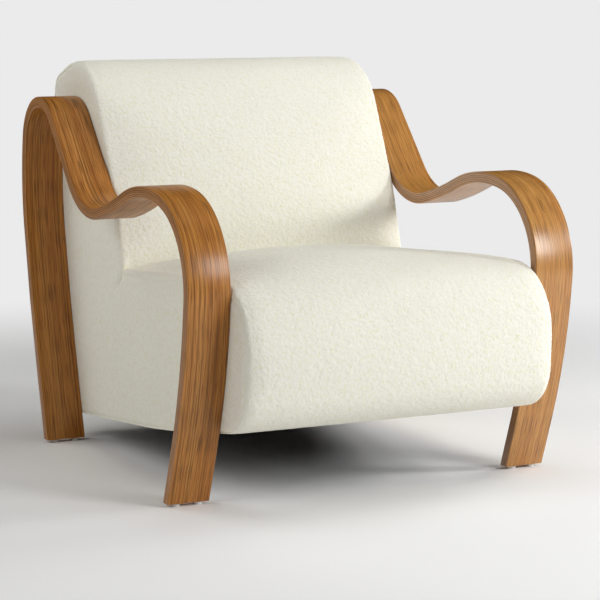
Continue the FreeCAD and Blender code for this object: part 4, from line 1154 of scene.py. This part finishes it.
def plywood():
    """Pale birch boards and rails with a quiet grain."""
    paint = object_paint("frame wood")
    fibre = paint.noise(*NOISES["board fibre"])
    broad = paint.noise(*NOISES["board bands"])
    tone = paint.ramp(paint.weigh((fibre, 0.5), (broad, 0.5)), 0.35, 0.65)
    paint.feed({"Base Color": paint.mix(tone, (0.44, 0.27, 0.13), (0.62, 0.43, 0.24)), "Roughness": 0.6})
    paint.bump(fibre, *RELIEFS["board"])
    return paint.owner


def metal(name, tint, rough):
    """Metal with fine uneven polish."""
    paint = object_paint(name)
    polish = paint.noise(*NOISES["polish"])
    paint.feed({"Base Color": paint.mix(polish, scaled(tint, 0.8), tint), "Metallic": 1.0,
                "Roughness": paint.ramp(polish, 0.2, 0.8, rough, rough + METAL_SCRATCH)})
    return paint.owner


def nylon():
    """White moulded glides, a little scuffed underneath."""
    paint = object_paint("nylon")
    scuff = paint.noise(*NOISES["scuff"])
    tint = paint.mix(paint.ramp(scuff, 0.4, 0.8), (0.78, 0.77, 0.74), (0.55, 0.54, 0.52))
    paint.feed({"Base Color": tint, "Roughness": paint.ramp(scuff, 0.3, 0.8, 0.35, 0.6)})
    return paint.owner


def felt():
    """Grey pressed fibre."""
    paint = object_paint("felt")
    fibre = paint.noise(*NOISES["pressed fibre"])
    paint.feed({"Base Color": paint.mix(fibre, (0.18, 0.17, 0.16), (0.42, 0.40, 0.37)), "Roughness": 1.0})
    paint.bump(fibre, *RELIEFS["felt"])
    return paint.owner


class CHAIR_OT_finish_frame(bpy.types.Operator):
    """Give the glides, fixings, boards, rails, springs and linings their materials"""
    bl_idname = "chair.finish_frame"
    bl_label = "Finish frame"

    def execute(self, context):
        slots = {
            "nylon": nylon(),
            "zinc_steel": metal("zinc steel", (0.62, 0.63, 0.65), 0.30),
            "brass": metal("brass", (0.72, 0.52, 0.22), 0.25),
            "black_steel": metal("black steel", (0.06, 0.06, 0.065), 0.35),
            "spring_steel": metal("spring steel", (0.36, 0.37, 0.39), 0.28),
            "frame_wood": plywood(),
            "felt": felt(),
            "webbing": woven("webbing", (0.30, 0.26, 0.20), (0.50, 0.45, 0.36), 120),
            "lining": woven("lining", (0.70, 0.69, 0.66), (0.82, 0.81, 0.78), 260),
        }
        for row in frame["record"]["subparts"]:
            node = frame["nodes"][row["node"]]
            if not node.hide_render:
                node.data.materials.clear()
                node.data.materials.append(slots[row["material_slot"]])
        return {"FINISHED"}


# Stage

FILL_TINT = (1.0, 0.995, 0.975)
# Azimuth and elevation of each lamp in degrees, its distance and size, its tint, and whether
# reflections show it. Azimuth 0 is in front of the chair and 90 on its right.
LAMPS = {
    "key": (60, 19, 3.5, 0.6, WHITE, True),
    "right": (90, 28, 3.0, 1.3, WHITE, False),
    "top": (60, 80, 2.5, 1.6, WHITE, False),
    "front": (25, 22, 3.5, 1.1, WHITE, True),
    "left": (-75, 25, 3.5, 2.1, FILL_TINT, False),
    "rear_left": (-130, 36, 3.5, 2.2, FILL_TINT, False),
}
LAMP_TARGET = Vector((0, 0, 0.3))
# Width of the camera's sensor in millimetres, and side of the square floor in metres.
SENSOR_WIDTH = 36
FLOOR_SIZE = 600


class CHAIR_OT_make_stage(bpy.types.Operator):
    """Set the camera, the pale floor with its backdrop, and the soft lamps"""
    bl_idname = "chair.make_stage"
    bl_label = "Make stage"

    def execute(self, context):
        stage = context.scene.chair_stage
        start_clean()
        bpy.ops.object.camera_add(location=stage.camera_place,
                                  rotation=(math.pi / 2 - stage.camera_pitch, 0, -stage.camera_yaw))
        camera = context.object
        camera.data.lens = stage.focal_length
        camera.data.sensor_width = SENSOR_WIDTH
        context.scene.camera = camera
        bpy.ops.mesh.primitive_plane_add(size=FLOOR_SIZE, location=(0, 0, 0))
        floor = context.object
        floor.name = "floor"
        floor.data.materials.append(floor_paint())
        for name, row in LAMPS.items():
            lamp(name + "_lamp", getattr(stage, name + "_power"), *row)
        world = context.scene.world or bpy.data.worlds.new("studio")
        context.scene.world = world
        studio_light(world, stage.sky, stage.backdrop)
        context.scene.view_settings.view_transform = "Standard"
        return {"FINISHED"}


def lamp(name, strength, azimuth, elevation, distance, size, tint, reflected):
    """Square lamp that faces the chair."""
    turn, rise = math.radians(azimuth), math.radians(elevation)
    way = Vector((math.sin(turn) * math.cos(rise), -math.cos(turn) * math.cos(rise), math.sin(rise)))
    bpy.ops.object.light_add(type="AREA", location=LAMP_TARGET + way * distance,
                             rotation=(-way).to_track_quat("-Z", "Y").to_euler())
    made = bpy.context.object
    made.name = name
    made.visible_glossy = reflected
    made.data.shape = "SQUARE"
    made.data.size = size
    made.data.energy = strength
    made.data.color = tint


def studio_light(world, strength, backdrop):
    """Even light on the chair, and a plain pale background for the camera."""
    paint = Paint(world, "Background")
    paint.feed({"Color": WHITE, "Strength": strength})
    shown = paint.node("Background", {"Color": WHITE, "Strength": backdrop})
    paint.show_to_camera(shown, "World Output")


def floor_paint():
    """Pale floor that turns into the plain backdrop away from the chair, for the camera only."""
    stage = bpy.context.scene.chair_stage
    paint = object_paint("floor paint")
    cloud = paint.noise(*NOISES["floor cloud"])
    paint.feed({"Base Color": paint.mix(cloud, FLOOR_DARK, FLOOR_LIGHT), **FLOOR_FINISH})
    far = paint.node("VectorMath", {0: paint.spot}, operation="LENGTH").outputs["Value"]
    blend = paint.ramp(far, stage.clear_radius, stage.backdrop_radius)
    glow = paint.node("Emission", {"Strength": stage.backdrop})
    paint.show_to_camera(glow, "Material Output", blend)
    return paint.owner


STEPS = (CHAIR_OT_make_stage, CHAIR_OT_make_ribbons, CHAIR_OT_make_pads, CHAIR_OT_make_outside_back,
         CHAIR_OT_make_side_panels, CHAIR_OT_make_dust_cover, CHAIR_OT_finish_frame)


class CHAIR_PT_steps(bpy.types.Panel):
    """Lists the steps that build the chair's looks"""
    bl_idname = "CHAIR_PT_steps"
    bl_label = "Lounge chair"
    bl_space_type = "VIEW_3D"
    bl_region_type = "UI"
    bl_category = "Lounge chair"

    def draw(self, context):
        for step in STEPS:
            self.layout.operator(step.bl_idname)
        for settings in (ribbon_sizes(), body_sizes(), finishes(), context.scene.chair_stage):
            box = self.layout.box()
            for name in settings.bl_rna.properties.keys():
                if name not in ("rna_type", "name"):
                    box.prop(settings, name)


GROUPS = {"chair_ribbon": RibbonSizes, "chair_body": BodySizes, "chair_finishes": Finishes,
          "chair_stage": StageSizes}
CLASSES = (*GROUPS.values(), *STEPS, CHAIR_PT_steps)


def register():
    for cls in CLASSES:
        bpy.utils.register_class(cls)
    for name, cls in GROUPS.items():
        setattr(bpy.types.Scene, name, PointerProperty(type=cls))


def unregister():
    for name in GROUPS:
        delattr(bpy.types.Scene, name)
    for cls in reversed(CLASSES):
        bpy.utils.unregister_class(cls)


def main():
    register()
    for step in STEPS:
        group, name = step.bl_idname.split(".")
        getattr(getattr(bpy.ops, group), name)()


if __name__ == "__main__":
    main()
